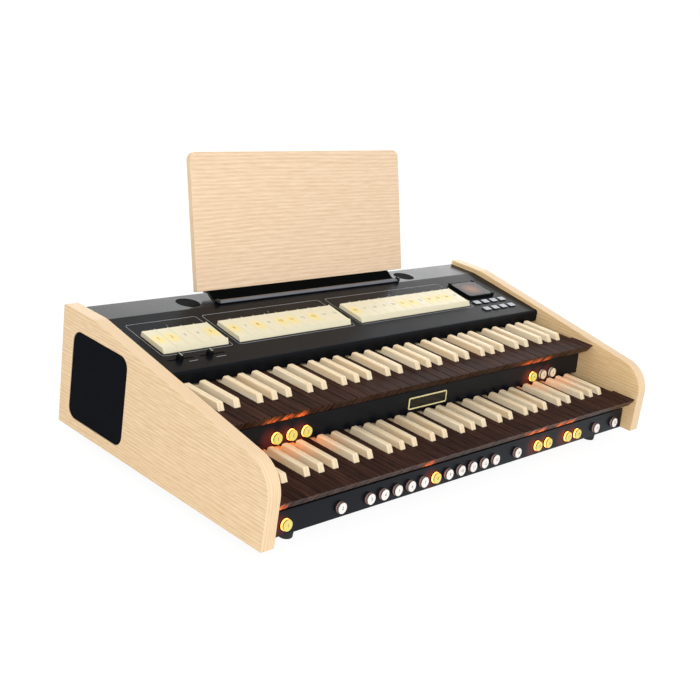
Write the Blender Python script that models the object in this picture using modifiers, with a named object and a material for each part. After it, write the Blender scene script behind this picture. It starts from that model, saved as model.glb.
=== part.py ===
"""Table-top electronic organ with two manuals of sixty-one keys.

Two slanting wooden cheeks carry everything between them: a base board on four feet, a lower and an
upper manual, the black slips in front of them with their pistons, a folded sheet-metal panel with
rocker tabs, sliders, buttons and a display, a rear panel with a mains inlet, and a music rest that
lifts off the top.  Keys of one octave on each manual, one bank of tabs, two sliders, three pistons
and two buttons move.

Metres, +Z up, +X to the player's right, the player sits at -Y.  Every piece is drawn from one datum:
the middle of the keyboards in X, the front foot of the lower sharps in Y, the top of the lower
naturals in Z.  The empty called organ carries that datum, so that the finished part stands on Z = 0
with its middle on the Z axis.
"""

from math import atan2, cos, degrees, asin, pi, radians, sin, sqrt, tan

import bmesh
import bpy
from mathutils import Matrix, Vector

# Clearances
SEAT = 0.0003                # air between two pieces that are fastened or rest on each other
RUN = 0.0003                 # air round a moving pin, stem or piston
SINK = 0.0005                # how far a fused piece reaches into the one that carries it
PAST = 0.0010                # how far a cutter reaches past the faces that it cuts

# Manuals
NATURALS = 36                # naturals on a manual, five octaves and the top C
KEY_PITCH = 0.0235           # one natural to the next
KEY_GAP = 0.0010             # air between neighbouring keys
KEY_END_GAP = 0.00316        # air between the end keys and the cheeks
NATURAL_FRONT = 0.0450       # front edge of the naturals, ahead of the sharps
NATURAL_LIP = 0.0140         # thickness of the overhanging front
LIP_UNDERCUT = 0.0095        # how far the front face slants back on its way down
NATURAL_EDGE = 0.0012        # chamfer along the front edge
STICK_DEPTH = 0.0180         # underside of every key below the naturals' top
STICK_FRONT = 0.0120         # front of that underside, ahead of the sharps
SHARP_WIDTH = 0.0108         # width of a sharp at its foot
SHARP_LENGTH = 0.0762        # length of a sharp that stands above the naturals
SHARP_HEIGHT = 0.0100        # height of a sharp above the naturals
SHARP_NOSE = 0.0060          # how far the front of a sharp slants back
SHARP_TAIL = 0.0020          # how far its rear end slants forward
SHARP_EDGE = 0.0022          # chamfer round the top of a sharp
SHARP_DROP = 0.0012          # top of the stick behind a sharp, below the naturals
SHARP_LINES = {1: -0.1, 2: 0.1, 4: -1 / 7, 5: 0.0, 6: 1 / 7}   # line between naturals: its shift
KEY_PIVOT = 0.165            # rear pivot line, behind the front of the sharps
KEY_TAIL = 0.005             # key behind that line
KEY_DIP = 0.010              # travel of a natural's front edge
MOVING_OCTAVE = 2            # octave, counted from 0, whose keys move

# Keybeds
RIDGE_WIDTH = 0.008          # rail on which the keys pivot
BED_THICK = 0.0035           # floor of the keybed
BED_AIR = 0.0130             # key underside to the keybed's floor
BED_FRONT = 0.0100           # front of the keybed, ahead of the sharps
RAIL_WIDTH = 0.0100          # front rail, and the runners under the lower keybed
RAIL_AIR = 0.0006            # front rail to a key that is fully down
BED_REAR = 0.0080            # keybed behind the keys

# Slips, the black boards in front of the keys
SLIP_THICK = 0.0025
SLIP_LEAN = radians(6.0)
SLIP_AIR = 0.0004            # top edge to the lip of a key that is fully down
SLIP_CLEAR = 0.0032          # lower edge of the upper slip above the lower naturals
SLIP_GAP = 0.0051            # rear end of the lower sharps to the upper slip
SLIP_UPPER_SETBACK = 0.01943 # top edge of a slip's face, ahead of the sharps above it
SLIP_LOWER_SETBACK = 0.02463
MANUAL_RISE = 0.06216        # lower naturals to upper naturals

# Pistons
PISTON_RADIUS = 0.0080
PISTON_PROUD = 0.0062        # face of a piston above the slip
PISTON_EDGE = 0.0007
COLLAR_WALL = 0.0009         # ring round a piston
COLLAR_PROUD = 0.0010
FLANGE_OVERLAP = 0.0013      # flange behind the slip, beyond the piston
FLANGE_THICK = 0.0015
PISTON_PITCH = 0.0285
PISTON_RISE_UPPER = 0.0127   # centre line above the slip's lower edge
PISTON_RISE_LOWER = 0.0148
UPPER_LEFT_INSET = 0.10976   # first of the three on the left, from the left cheek
UPPER_RIGHT_INSET = 0.08516  # last of the three on the right, from the right cheek
LOWER_END_INSET = 0.03666    # the single one, from the left cheek
LOWER_MIDDLE_PISTON = -0.0037
LOWER_PLACES = (-10, -8, -7, -6, -5, -4, -3, -2, -1, 0, 1, 2, 4, 6, 7, 9, 10, 12, 14)

# Nameplate, left bare
PLATE_WIDTH = 0.091
PLATE_HEIGHT = 0.019
PLATE_THICK = 0.0012
PLATE_RIM = 0.0012
PLATE_X = 0.0048
PLATE_RISE = 0.0155

# Housing
CHEEK_THICK = 0.0222
CHEEK_BOTTOM = 0.0584        # lower edge of the cheeks, below the lower naturals
CHEEK_PROUD = 0.0079         # top of the cheeks above the strip
CHEEK_AHEAD = 0.0015         # front of the cheeks ahead of the naturals, at their level
CHEEK_CREASE = 0.0140        # start of the cheek's flat top, ahead of the panel's crease
NOSE_HEIGHT = 0.0566         # height of the cheek's slope over the front of the sharps
NOSE_RADIUS = 0.0500
NOSE_LEAN = radians(2.45)
CHEEK_CORNER = 0.0020
CHEEK_EDGE = 0.0008
REAR_LEAN = radians(4.82)
STRIP_RISE = 0.04334         # strip above the upper naturals
STRIP_DEPTH = 0.0560
BASE_THICK = 0.0100
REAR_THICK = 0.0030
REAR_INSET = 0.0010          # rear panel in front of the cheeks' rear edge
FOOT_RADIUS = 0.0110
FOOT_HEIGHT = 0.0186
FOOT_TAPER = 0.0010
FOOT_FROM_SIDE = 0.0630
FOOT_FROM_FRONT = 0.0180
FOOT_FROM_REAR = 0.0300

# Speaker grilles in the cheeks
GRILLE_WIDTH = 0.1240
GRILLE_HEIGHT = 0.1280
GRILLE_RADIUS = 0.0160
GRILLE_FROM_REAR = 0.0216    # at the opening's lower edge
GRILLE_LEAN = radians(2.95)  # upright edges of the opening, leaning back
GRILLE_FROM_BOTTOM = 0.0160
GRILLE_INSET = 0.0006

# Panel
SHEET = 0.0015
PANEL_SLOPE = radians(8.18)
PANEL_GAP = 0.00765          # rear end of the upper sharps to the panel's front edge
PANEL_CLEAR = 0.00184        # panel's lower front edge above the upper naturals
PANEL_LEAN = 0.0010          # lower front edge ahead of the upper one
SLIDER_FROM_FRONT = 0.0319   # line of the sliders, measured up the slope from the front edge
BANK_FROM_SLIDER = 0.0185    # front edge of the tabs, up the slope from the sliders
BANK_TO_CREASE = 0.0525      # rear edge of the tabs to the crease

# Rocker tabs
BANKS = (5, 10, 12)          # tabs in each bank
BANK_GAPS = (0.0215, 0.0250)
TAB_GAP = 0.0006
TAB_LENGTH = 0.0545          # base of a tab, along the slope
TAB_SLANT = 0.0050           # front face of a tab
TAB_PROUD = 0.0065
TAB_DEPTH = 0.0050           # underside of a tab below the panel's face
TAB_EDGE = 0.0008
TAB_PIVOT = 0.0055           # pivot line ahead of a tab's rear face
TAB_SWING = radians(4.0)
WINDOW_AIR = 0.0006
TAB_RIDGE = 0.0050
TAB_AIR = 0.0006             # rail under a tab that is fully down
TAB_RAIL_THICK = 0.0030
TAB_POST = 0.0100
LAYOUT_SHIFT = -0.0075       # banks and display together, off the middle

# Sliders
SLOT_LENGTH = 0.0460
SLOT_WIDTH = 0.0025
SLOT_SPACE = 0.0100
SLOT_FROM_BANK = -0.0080     # left end of the first slot from the first tab
KNOB_WIDTH = 0.0070
KNOB_LENGTH = 0.0100
KNOB_HEIGHT = 0.0080
KNOB_DRAFT = 0.0008
STEM_LENGTH = 0.0030
STEM_DEPTH = 0.0040
KNOB_PLACES = (-0.0018, -0.0043)   # knobs from the middle of their slots

# Display, a raised block whose pane covers nearly all of its top
DISPLAY_GAP = 0.0235         # last tab to the display
DISPLAY_WIDTH = 0.0725
DISPLAY_LENGTH = 0.0540
DISPLAY_FRAME = 0.0030
DISPLAY_PROUD = 0.0050
DISPLAY_RADIUS = 0.0015
DISPLAY_SKIRT = 0.0045       # depth of the bezel below the panel's face
PANE_THICK = 0.0020
PANE_BELOW = 0.0006          # pane below the bezel's rim
CLIP_WIDTH = 0.0070          # clips that hold the pane's corners
CLIP_LENGTH = 0.0045
CLIP_RISE = 0.0008           # clip above the bezel's rim

# Buttons
BUTTON_COLUMNS = 4
BUTTON_PITCH = 0.0242
BUTTON_ROW_PITCH = 0.0237
BUTTON_WIDTH = 0.0160
BUTTON_LENGTH = 0.0110
BUTTON_RADIUS = 0.0020
BUTTON_PROUD = 0.0020
BUTTON_DEPTH = 0.0050
BUTTON_LIP = 0.0012
BUTTON_FROM_FRONT = 0.0311
BUTTON_FROM_DISPLAY = 0.0020 # first button's middle, right of the display's left edge
DISPLAY_FROM_BUTTONS = 0.0106
MOVING_BUTTONS = ((0, 1), (1, 1))  # column, row

# Caps in the strip beside the music rest
DISC_RADIUS = 0.0185
DISC_THICK = 0.0030
DISC_PROUD = 0.0004
DISC_FROM_CREASE = 0.0244
DISC_GAP = 0.0223

# Music rest
LEDGE_LENGTH = 0.4184
LEDGE_FROM_CREASE = 0.0005
LEDGE_SHEET = 0.0026
LIP_DEPTH = 0.0075
LIP_RISE = 0.0060
TROUGH_DEPTH = 0.0100        # floor behind the lip
TROUGH_RISE = 0.0030
FLOOR_RISE = 0.0010          # rise of that floor towards the board
LEDGE_DEPTH = 0.0298         # nose to the board's face
LEDGE_RISE = 0.0122          # foot of the board above the strip
PEG_RADIUS = 0.0030
PEG_LENGTH = 0.0080
PEG_FROM_END = 0.0190
DESK_WIDTH = 0.4760
DESK_HEIGHT = 0.2100
DESK_THICK = 0.0095
DESK_RADIUS = 0.0130
DESK_EDGE = 0.0010
DESK_TILT = radians(16.4)
DESK_SHIFT = 0.0093          # board to the right of the ledge's middle

# Mains inlet in the rear panel
INLET_WIDTH = 0.0480
INLET_HEIGHT = 0.0280
INLET_FLANGE = 0.0030
INLET_BODY = (0.0272, 0.0200)
INLET_WALL = 0.0018
INLET_DEPTH = 0.0200
INLET_CORNER = 0.0030
INLET_FROM_SIDE = 0.09616    # from the right cheek
INLET_RISE = 0.0400
PIN_LENGTH = 0.0100
PIN_WIDTH = 0.0040
PIN_THICK = 0.0020
PIN_PITCH = 0.0070
PIN_STEP = 0.0040            # earth pin above the other two

# Facets
ROUND = 20
PISTON_SIDES = 14
CORNER_STEPS = 3

# Places that follow from the sizes above
KEYS_HALF = NATURALS * KEY_PITCH / 2
INNER_HALF = KEYS_HALF + KEY_END_GAP
BETWEEN_HALF = INNER_HALF - SEAT
KEY_ANGLE = asin(KEY_DIP / (KEY_PIVOT + NATURAL_FRONT))
SLIP_DROP = NATURAL_LIP + KEY_DIP + SLIP_AIR
UPPER_SLIP_HEIGHT = MANUAL_RISE - SLIP_DROP - SLIP_CLEAR
LOWER_SLIP_HEIGHT = CHEEK_BOTTOM - SLIP_DROP
MANUAL_SETBACK = SHARP_LENGTH + SLIP_GAP + UPPER_SLIP_HEIGHT * tan(SLIP_LEAN) + SLIP_UPPER_SETBACK
PANEL_LENGTH = SLIDER_FROM_FRONT + BANK_FROM_SLIDER + TAB_LENGTH + BANK_TO_CREASE
PANEL_FRONT_Y = MANUAL_SETBACK + SHARP_LENGTH + PANEL_GAP
CREASE_Y = PANEL_FRONT_Y + PANEL_LENGTH * cos(PANEL_SLOPE)
STRIP_Z = MANUAL_RISE + STRIP_RISE
REAR_Y = CREASE_Y + STRIP_DEPTH
CHEEK_TOP = STRIP_Z + CHEEK_PROUD
LEDGE_FACE_Y = CREASE_Y + LEDGE_FROM_CREASE + LEDGE_DEPTH
DESK_FOOT_Z = STRIP_Z + LEDGE_RISE + SEAT
TAB_PITCH = KEY_PITCH
PISTON_HOLE = PISTON_RADIUS + RUN
COLLAR_RADIUS = PISTON_HOLE + COLLAR_WALL
RAIL_DEPTH = TAB_DEPTH + (TAB_LENGTH - TAB_PIVOT) * sin(TAB_SWING) + TAB_AIR
BANK_REAR_Y = -BANK_TO_CREASE


def cheek_front_y(z):
    """Front edge of the cheeks at height z."""
    return -NATURAL_FRONT - CHEEK_AHEAD + z * tan(NOSE_LEAN)


def rear_y(z):
    """Rear edge of the cheeks at height z."""
    return REAR_Y - (CHEEK_TOP - z) * tan(REAR_LEAN)


DEPTH_FRONT = cheek_front_y(-CHEEK_BOTTOM)
DEPTH_REAR = LEDGE_FACE_Y + DESK_HEIGHT * sin(DESK_TILT) + DESK_THICK * cos(DESK_TILT)
ORGAN_AT = (0, -(DEPTH_FRONT + DEPTH_REAR) / 2, CHEEK_BOTTOM + FOOT_HEIGHT + SEAT)

# Turns an outline drawn in (Y, Z) and extruded along its own Z into one extruded along X
SIDE_VIEW = (pi / 2, 0, pi / 2)
# Stands an outline drawn in (X, Z) upright, its own +Z pointing to -Y
FRONT_VIEW = (pi / 2, 0, 0)


# Scene helpers

def clear_scene():
    for obj in list(bpy.data.objects):
        bpy.data.objects.remove(obj, do_unlink=True)


def new_collection(name):
    coll = bpy.data.collections.new(name)
    bpy.context.scene.collection.children.link(coll)
    return coll


def new_material(name, colour, roughness, metallic=0.0):
    mat = bpy.data.materials.new(name)
    mat.use_nodes = True
    shader = mat.node_tree.nodes["Principled BSDF"]
    shader.inputs["Base Color"].default_value = (*colour, 1.0)
    shader.inputs["Roughness"].default_value = roughness
    shader.inputs["Metallic"].default_value = metallic
    mat.diffuse_color = (*colour, 1.0)
    return mat


def new_empty(name, parent=None, location=(0, 0, 0), rotation=(0, 0, 0)):
    empty = bpy.data.objects.new(name, None)
    empty.empty_display_size = 0.02
    empty.location = location
    empty.rotation_euler = rotation
    empty.parent = parent
    PARTS.objects.link(empty)
    return empty


def new_object(name, mesh, material=None, parent=None, location=(0, 0, 0), rotation=(0, 0, 0)):
    obj = bpy.data.objects.new(name, mesh)
    if material and not mesh.materials:
        mesh.materials.append(material)
    obj.parent = parent
    obj.location = location
    obj.rotation_euler = rotation
    PARTS.objects.link(obj)
    return obj


def baked_mesh(obj):
    """The object's mesh with its modifiers or its curve worked out, welded, faces outward."""
    bpy.context.view_layer.update()
    graph = bpy.context.evaluated_depsgraph_get()
    mesh = bpy.data.meshes.new_from_object(obj.evaluated_get(graph))
    bm = bmesh.new()
    bm.from_mesh(mesh)
    bmesh.ops.remove_doubles(bm, verts=bm.verts, dist=0.000005)
    bmesh.ops.recalc_face_normals(bm, faces=bm.faces)
    bm.to_mesh(mesh)
    bm.free()
    mesh.name = obj.name
    return mesh


def shade_round(obj, angle=radians(35)):
    obj.data.shade_smooth()
    obj.data.set_sharp_from_angle(angle=angle)


# Shape helpers

def rounded(corners, steps=CORNER_STEPS):
    """Outline through corners (x, y, radius), each corner turned into an arc of its radius."""
    points = []
    for i, (x, y, radius) in enumerate(corners):
        here = Vector((x, y))
        if radius == 0:
            points.append(here)
            continue
        before = (Vector(corners[i - 1][:2]) - here).normalized()
        after = (Vector(corners[(i + 1) % len(corners)][:2]) - here).normalized()
        half = before.angle(after) / 2
        centre = here + (before + after).normalized() * radius / sin(half)
        start = here + before * radius / tan(half) - centre
        stop = here + after * radius / tan(half) - centre
        first = atan2(start.y, start.x)
        turn = (atan2(stop.y, stop.x) - first + pi) % (2 * pi) - pi
        for k in range(steps + 1):
            angle = first + turn * k / steps
            points.append(centre + radius * Vector((cos(angle), sin(angle))))
    return points


def rectangle(width, height, radius=0.0, x=0.0, y=0.0):
    """Corners of a rectangle about (x, y), for rounded()."""
    w, h = width / 2, height / 2
    return [(x - w, y - h, radius), (x + w, y - h, radius), (x + w, y + h, radius), (x - w, y + h, radius)]


def prism_mesh(name, points, low, high):
    """Flat outline filled and extruded from low to high along its own Z."""
    curve = bpy.data.curves.new(name, "CURVE")
    curve.dimensions = "2D"
    curve.fill_mode = "BOTH"
    curve.extrude = (high - low) / 2
    spline = curve.splines.new("POLY")
    spline.points.add(len(points) - 1)
    for point, (x, y) in zip(spline.points, [tuple(p)[:2] for p in points]):
        point.co = (x, y, 0, 1)
    spline.use_cyclic_u = True
    obj = bpy.data.objects.new(name, curve)
    PARTS.objects.link(obj)
    mesh = baked_mesh(obj)
    bpy.data.objects.remove(obj)
    bpy.data.curves.remove(curve)
    mesh.transform(Matrix.Translation((0, 0, (low + high) / 2)))
    return mesh


def prism(name, points, low, high, material=None, parent=None, location=(0, 0, 0), rotation=(0, 0, 0)):
    return new_object(name, prism_mesh(name, points, low, high), material, parent, location, rotation)


def box_mesh(name, low, high):
    """Cube primitive stretched between two opposite corners."""
    low, high = Vector(low), Vector(high)
    size = high - low
    matrix = Matrix.Translation((low + high) / 2) @ Matrix.Diagonal((*size, 1))
    bm = bmesh.new()
    bmesh.ops.create_cube(bm, size=1, matrix=matrix)
    mesh = bpy.data.meshes.new(name)
    bm.to_mesh(mesh)
    bm.free()
    return mesh


def box(name, low, high, material=None, parent=None, location=(0, 0, 0), rotation=(0, 0, 0)):
    return new_object(name, box_mesh(name, low, high), material, parent, location, rotation)


def rod(name, radius, low, high, parent=None, location=(0, 0, 0), rotation=(0, 0, 0), top=None,
        material=None, sides=ROUND):
    """Cylinder or cone about its own Z from low to high."""
    bm = bmesh.new()
    bmesh.ops.create_cone(bm, cap_ends=True, segments=sides, radius1=radius,
                          radius2=radius if top is None else top, depth=high - low,
                          matrix=Matrix.Translation((0, 0, (low + high) / 2)))
    mesh = bpy.data.meshes.new(name)
    bm.to_mesh(mesh)
    bm.free()
    obj = new_object(name, mesh, material, parent, location, rotation)
    shade_round(obj)
    return obj


def turned_mesh(name, profile, sides):
    """Profile of (radius, height) points, listed from the top down, turned about its own Z."""
    mesh = bpy.data.meshes.new(name)
    bm = bmesh.new()
    verts = [bm.verts.new((radius, 0, height)) for radius, height in profile]
    for a, b in zip(verts, verts[1:]):
        bm.edges.new((a, b))
    bm.to_mesh(mesh)
    bm.free()
    obj = bpy.data.objects.new(name, mesh)
    PARTS.objects.link(obj)
    screw = obj.modifiers.new("turn", "SCREW")
    screw.axis = "Z"
    screw.angle = 2 * pi
    screw.steps = sides
    screw.render_steps = sides
    screw.use_merge_vertices = True
    screw.merge_threshold = 0.00001
    result = baked_mesh(obj)
    bpy.data.objects.remove(obj)
    bpy.data.meshes.remove(mesh)
    return result


def gathered_mesh(name, placed):
    """One mesh from (mesh, matrix) pairs, its bodies apart until a Boolean joins them."""
    bm = bmesh.new()
    for mesh, matrix in placed:
        copy = mesh.copy()
        copy.transform(matrix)
        bm.from_mesh(copy)
        bpy.data.meshes.remove(copy)
    mesh = bpy.data.meshes.new(name)
    bm.to_mesh(mesh)
    bm.free()
    return mesh


def boolean(target, tool, operation):
    """Adds the tool to the target or takes it away; the tool goes to the cutters."""
    PARTS.objects.unlink(tool)
    CUTTERS.objects.link(tool)
    tool.hide_render = True
    tool.display_type = "WIRE"
    mod = target.modifiers.new(operation.lower(), "BOOLEAN")
    mod.operation = operation
    mod.object = tool
    return mod


def cut(target, tool):
    return boolean(target, tool, "DIFFERENCE")


def join(target, tool):
    return boolean(target, tool, "UNION")


def bevel(obj, width, angle=radians(50), segments=1):
    mod = obj.modifiers.new("edges", "BEVEL")
    mod.width = width
    mod.segments = segments
    mod.limit_method = "ANGLE"
    mod.angle_limit = angle
    return mod


# Keys

def sharp_centres():
    """X of every sharp on a manual, with its place in the octave, from the left end of the keys."""
    octaves = NATURALS // 7
    return [(7 * octave + line, (7 * octave + line + shift) * KEY_PITCH)
            for octave in range(octaves) for line, shift in SHARP_LINES.items()]


def natural_mesh(index):
    """Natural with its notches and undercut lip; origin on the pivot line, in the middle of its width."""
    half = (KEY_PITCH - KEY_GAP) / 2
    front = -KEY_PIVOT - NATURAL_FRONT
    stick = -KEY_PIVOT - STICK_FRONT
    top, lip = STICK_DEPTH, STICK_DEPTH - NATURAL_LIP
    side = [(KEY_TAIL, 0), (stick, 0), (stick, lip), (front + LIP_UNDERCUT, lip),
            (front, top - NATURAL_EDGE), (front + NATURAL_EDGE, top), (KEY_TAIL, top)]
    obj = prism("natural", side, -half, half, rotation=SIDE_VIEW)
    centre = (index + 0.5) * KEY_PITCH
    reach = SHARP_WIDTH / 2 + KEY_GAP
    tools = []
    for _, x in sharp_centres():
        if abs(x - centre) < half + reach:
            low = (x - centre - reach, -KEY_PIVOT - KEY_GAP, -SINK)
            high = (x - centre + reach, KEY_TAIL + SINK, top + SINK)
            tools.append(box("notch", low, high))
            cut(obj, tools[-1])
    mesh = baked_mesh(obj)
    mesh.transform(obj.matrix_world)
    for extra in tools + [obj]:
        bpy.data.objects.remove(extra)
    return mesh


def sharp_mesh():
    """Sharp: slanted and chamfered above the naturals but for its rear end, a stick behind and below."""
    half = SHARP_WIDTH / 2
    front, rear = -KEY_PIVOT, SHARP_LENGTH - KEY_PIVOT
    foot, top = STICK_DEPTH - SHARP_DROP, STICK_DEPTH + SHARP_HEIGHT
    side = [(KEY_TAIL, 0), (front, 0), (front, foot), (front + SHARP_NOSE, top),
            (rear - SHARP_TAIL, top), (rear, foot), (KEY_TAIL, foot)]
    mesh = prism_mesh("sharp", side, -half, half)
    mesh.transform(Matrix.Rotation(pi / 2, 4, "Z") @ Matrix.Rotation(pi / 2, 4, "X"))
    bm = bmesh.new()
    bm.from_mesh(mesh)
    bmesh.ops.dissolve_limit(bm, angle_limit=0.01, verts=bm.verts, edges=bm.edges)
    raised = [e for e in bm.edges if max(v.co.z for v in e.verts) > STICK_DEPTH
              and min(v.co.y for v in e.verts) < rear - 2 * SHARP_TAIL
              and not (abs(e.verts[0].co.x - e.verts[1].co.x) > half and e.verts[0].co.z < STICK_DEPTH)]
    bmesh.ops.bevel(bm, geom=raised, offset=SHARP_EDGE, segments=1, affect="EDGES")
    bm.to_mesh(mesh)
    bm.free()
    return mesh


def keybed_side(base_z):
    """Side view of a keybed: front rail, floor, pivot rail, and runners down to base_z."""
    floor = -STICK_DEPTH - BED_AIR
    under = floor - BED_THICK
    dip = (KEY_PIVOT + STICK_FRONT) * sin(KEY_ANGLE)
    rail = -STICK_DEPTH - dip - RAIL_AIR
    ridge = -STICK_DEPTH + SINK
    front, rear = -BED_FRONT, KEY_PIVOT + KEY_TAIL + BED_REAR
    near, far = KEY_PIVOT - RIDGE_WIDTH / 2, KEY_PIVOT + RIDGE_WIDTH / 2
    base = min(base_z, under)
    side = [(front, base), (front, rail), (front + RAIL_WIDTH, rail), (front + RAIL_WIDTH, floor),
            (near, floor), (near, ridge), (far, ridge), (far, floor), (rear, floor), (rear, base)]
    if base < under:
        side += [(rear - RAIL_WIDTH, base), (rear - RAIL_WIDTH, under),
                 (front + RAIL_WIDTH, under), (front + RAIL_WIDTH, base)]
    return side


def build_manual(name, parent, base_z, meshes):
    """Keybed with its fixed keys fused to the pivot rail, and the moving octave."""
    left = -KEYS_HALF
    first, last = 7 * MOVING_OCTAVE, 7 * MOVING_OCTAVE + 7
    bed = prism("keybed_" + name, keybed_side(base_z), -BETWEEN_HALF, BETWEEN_HALF,
                MATERIALS["keys"], parent, rotation=SIDE_VIEW)
    low = (left + first * KEY_PITCH, KEY_PIVOT - RIDGE_WIDTH, -STICK_DEPTH - SEAT)
    high = (left + last * KEY_PITCH, KEY_PIVOT + RIDGE_WIDTH, 0)
    cut(bed, box("ridge_cut_" + name, low, high, parent=parent))

    fixed = []
    for index in range(NATURALS):
        x = left + (index + 0.5) * KEY_PITCH
        mesh = meshes["top" if index == NATURALS - 1 else index % 7]
        if first <= index < last:
            note = "cdefgab"[index % 7]
            new_object(f"key_{name}_{note}", mesh, MATERIALS["keys"], parent, (x, KEY_PIVOT, -STICK_DEPTH))
        else:
            fixed.append((mesh, Matrix.Translation((x, KEY_PIVOT, -STICK_DEPTH))))
    for line, offset in sharp_centres():
        if first < line < last:
            note = "cdefgab"[line % 7 - 1]
            new_object(f"key_{name}_{note}_sharp", meshes["sharp"], MATERIALS["sharps"], parent,
                       (left + offset, KEY_PIVOT, -STICK_DEPTH))
        else:
            fixed.append((meshes["sharp"], Matrix.Translation((left + offset, KEY_PIVOT, -STICK_DEPTH))))
    keys = new_object("fixed_keys_" + name, gathered_mesh("fixed_keys_" + name, fixed), parent=parent)
    join(bed, keys)


def build_manuals():
    meshes = {step: natural_mesh(step) for step in range(7)}
    meshes["top"] = natural_mesh(NATURALS - 1)
    meshes["sharp"] = sharp_mesh()
    lower = new_empty("manual_lower", ORGAN)
    upper = new_empty("manual_upper", ORGAN, (0, MANUAL_SETBACK, MANUAL_RISE))
    build_manual("lower", lower, BASE_THICK + SEAT - CHEEK_BOTTOM, meshes)
    build_manual("upper", upper, 0, meshes)


# Slips and pistons

def piston_profile(edge, inner):
    """Radius and height of a piston from the top down, ending as inner says."""
    rim = [(PISTON_RADIUS - edge, PISTON_PROUD), (PISTON_RADIUS, PISTON_PROUD - edge)]
    return [(0, PISTON_PROUD)] + (rim if edge else rim[:1]) + inner


def build_slip(name, frame, height, rise, fixed, moving):
    """Leaning board with its fixed pistons, and holes with collars for the moving ones."""
    slip = box("slip_" + name, (-BETWEEN_HALF, 0, 0), (BETWEEN_HALF, SLIP_THICK, height),
               MATERIALS["slip"], frame)
    outward = Matrix.Rotation(pi / 2, 4, "X")
    standing = turned_mesh("piston_fixed", piston_profile(
        0, [(PISTON_RADIUS, COLLAR_PROUD), (COLLAR_RADIUS, COLLAR_PROUD),
            (COLLAR_RADIUS, -SINK), (0, -SINK)]), PISTON_SIDES)
    placed = [(standing, Matrix.Translation((x, 0, rise)) @ outward) for x in fixed]
    collar = turned_mesh("collar", [(0, COLLAR_PROUD), (COLLAR_RADIUS, COLLAR_PROUD),
                                    (COLLAR_RADIUS, -SINK), (0, -SINK)], PISTON_SIDES)
    placed += [(collar, Matrix.Translation((x, 0, rise)) @ outward) for x in moving]
    join(slip, new_object("pistons_" + name, gathered_mesh("pistons_" + name, placed), parent=frame))
    if not moving:
        return
    mesh = turned_mesh("piston", piston_profile(
        PISTON_EDGE, [(PISTON_RADIUS, -SLIP_THICK - SEAT),
                      (PISTON_RADIUS + FLANGE_OVERLAP, -SLIP_THICK - SEAT),
                      (PISTON_RADIUS + FLANGE_OVERLAP, -SLIP_THICK - SEAT - FLANGE_THICK),
                      (0, -SLIP_THICK - SEAT - FLANGE_THICK)]), ROUND)
    for number, x in enumerate(moving, 1):
        hole = rod("piston_hole", PISTON_HOLE, -SLIP_THICK - SINK, COLLAR_PROUD + SINK,
                   frame, (x, 0, rise), FRONT_VIEW)
        cut(slip, hole)
        piston = new_object(f"piston_{number}", mesh, MATERIALS["piston"], frame, (x, 0, rise), FRONT_VIEW)
        shade_round(piston)


def build_slips():
    lean = tan(SLIP_LEAN)
    upper_y = MANUAL_SETBACK - SLIP_UPPER_SETBACK - UPPER_SLIP_HEIGHT * lean
    upper = new_empty("slip_upper_face", ORGAN, (0, upper_y, SLIP_CLEAR), (-SLIP_LEAN, 0, 0))
    lower_y = -SLIP_LOWER_SETBACK - LOWER_SLIP_HEIGHT * lean
    lower = new_empty("slip_lower_face", ORGAN, (0, lower_y, -CHEEK_BOTTOM), (-SLIP_LEAN, 0, 0))
    left = [UPPER_LEFT_INSET - INNER_HALF + k * PISTON_PITCH for k in range(3)]
    right = [INNER_HALF - UPPER_RIGHT_INSET - k * PISTON_PITCH for k in range(3)]
    row = [LOWER_END_INSET - INNER_HALF] + [LOWER_MIDDLE_PISTON + k * PISTON_PITCH for k in LOWER_PLACES]
    row = [x for x in row if abs(x) < BETWEEN_HALF - COLLAR_RADIUS - COLLAR_WALL]
    build_slip("upper", upper, UPPER_SLIP_HEIGHT / cos(SLIP_LEAN), PISTON_RISE_UPPER, right, left)
    build_slip("lower", lower, LOWER_SLIP_HEIGHT / cos(SLIP_LEAN), PISTON_RISE_LOWER, row, [])

    plate = prism("nameplate", rectangle_points(PLATE_WIDTH, PLATE_HEIGHT), SEAT, SEAT + PLATE_THICK,
                  MATERIALS["brass"], upper, (PLATE_X, 0, PLATE_RISE), FRONT_VIEW)
    inside = rectangle_points(PLATE_WIDTH - 2 * PLATE_RIM, PLATE_HEIGHT - 2 * PLATE_RIM)
    cut(plate, prism("plate_field", inside, SEAT + PLATE_THICK * 0.7, SEAT + PLATE_THICK + SINK,
                     parent=upper, location=(PLATE_X, 0, PLATE_RISE), rotation=FRONT_VIEW))


def rectangle_points(width, height, radius=0.0):
    return rounded(rectangle(width, height, radius))


# Housing

def cheek_outline():
    """Side view of a cheek: upright front, round nose, long slope, flat top, leaning rear."""
    slope = (CHEEK_TOP - NOSE_HEIGHT) / (CREASE_Y - CHEEK_CREASE)
    lean = tan(NOSE_LEAN)
    level = -NATURAL_FRONT - CHEEK_AHEAD
    nose_z = (NOSE_HEIGHT + slope * level) / (1 - slope * lean)
    return [(rear_y(-CHEEK_BOTTOM), -CHEEK_BOTTOM, CHEEK_CORNER),
            (REAR_Y, CHEEK_TOP, CHEEK_CORNER),
            (CREASE_Y - CHEEK_CREASE, CHEEK_TOP, 0),
            (cheek_front_y(nose_z), nose_z, NOSE_RADIUS),
            (cheek_front_y(-CHEEK_BOTTOM), -CHEEK_BOTTOM, 0)]


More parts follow.
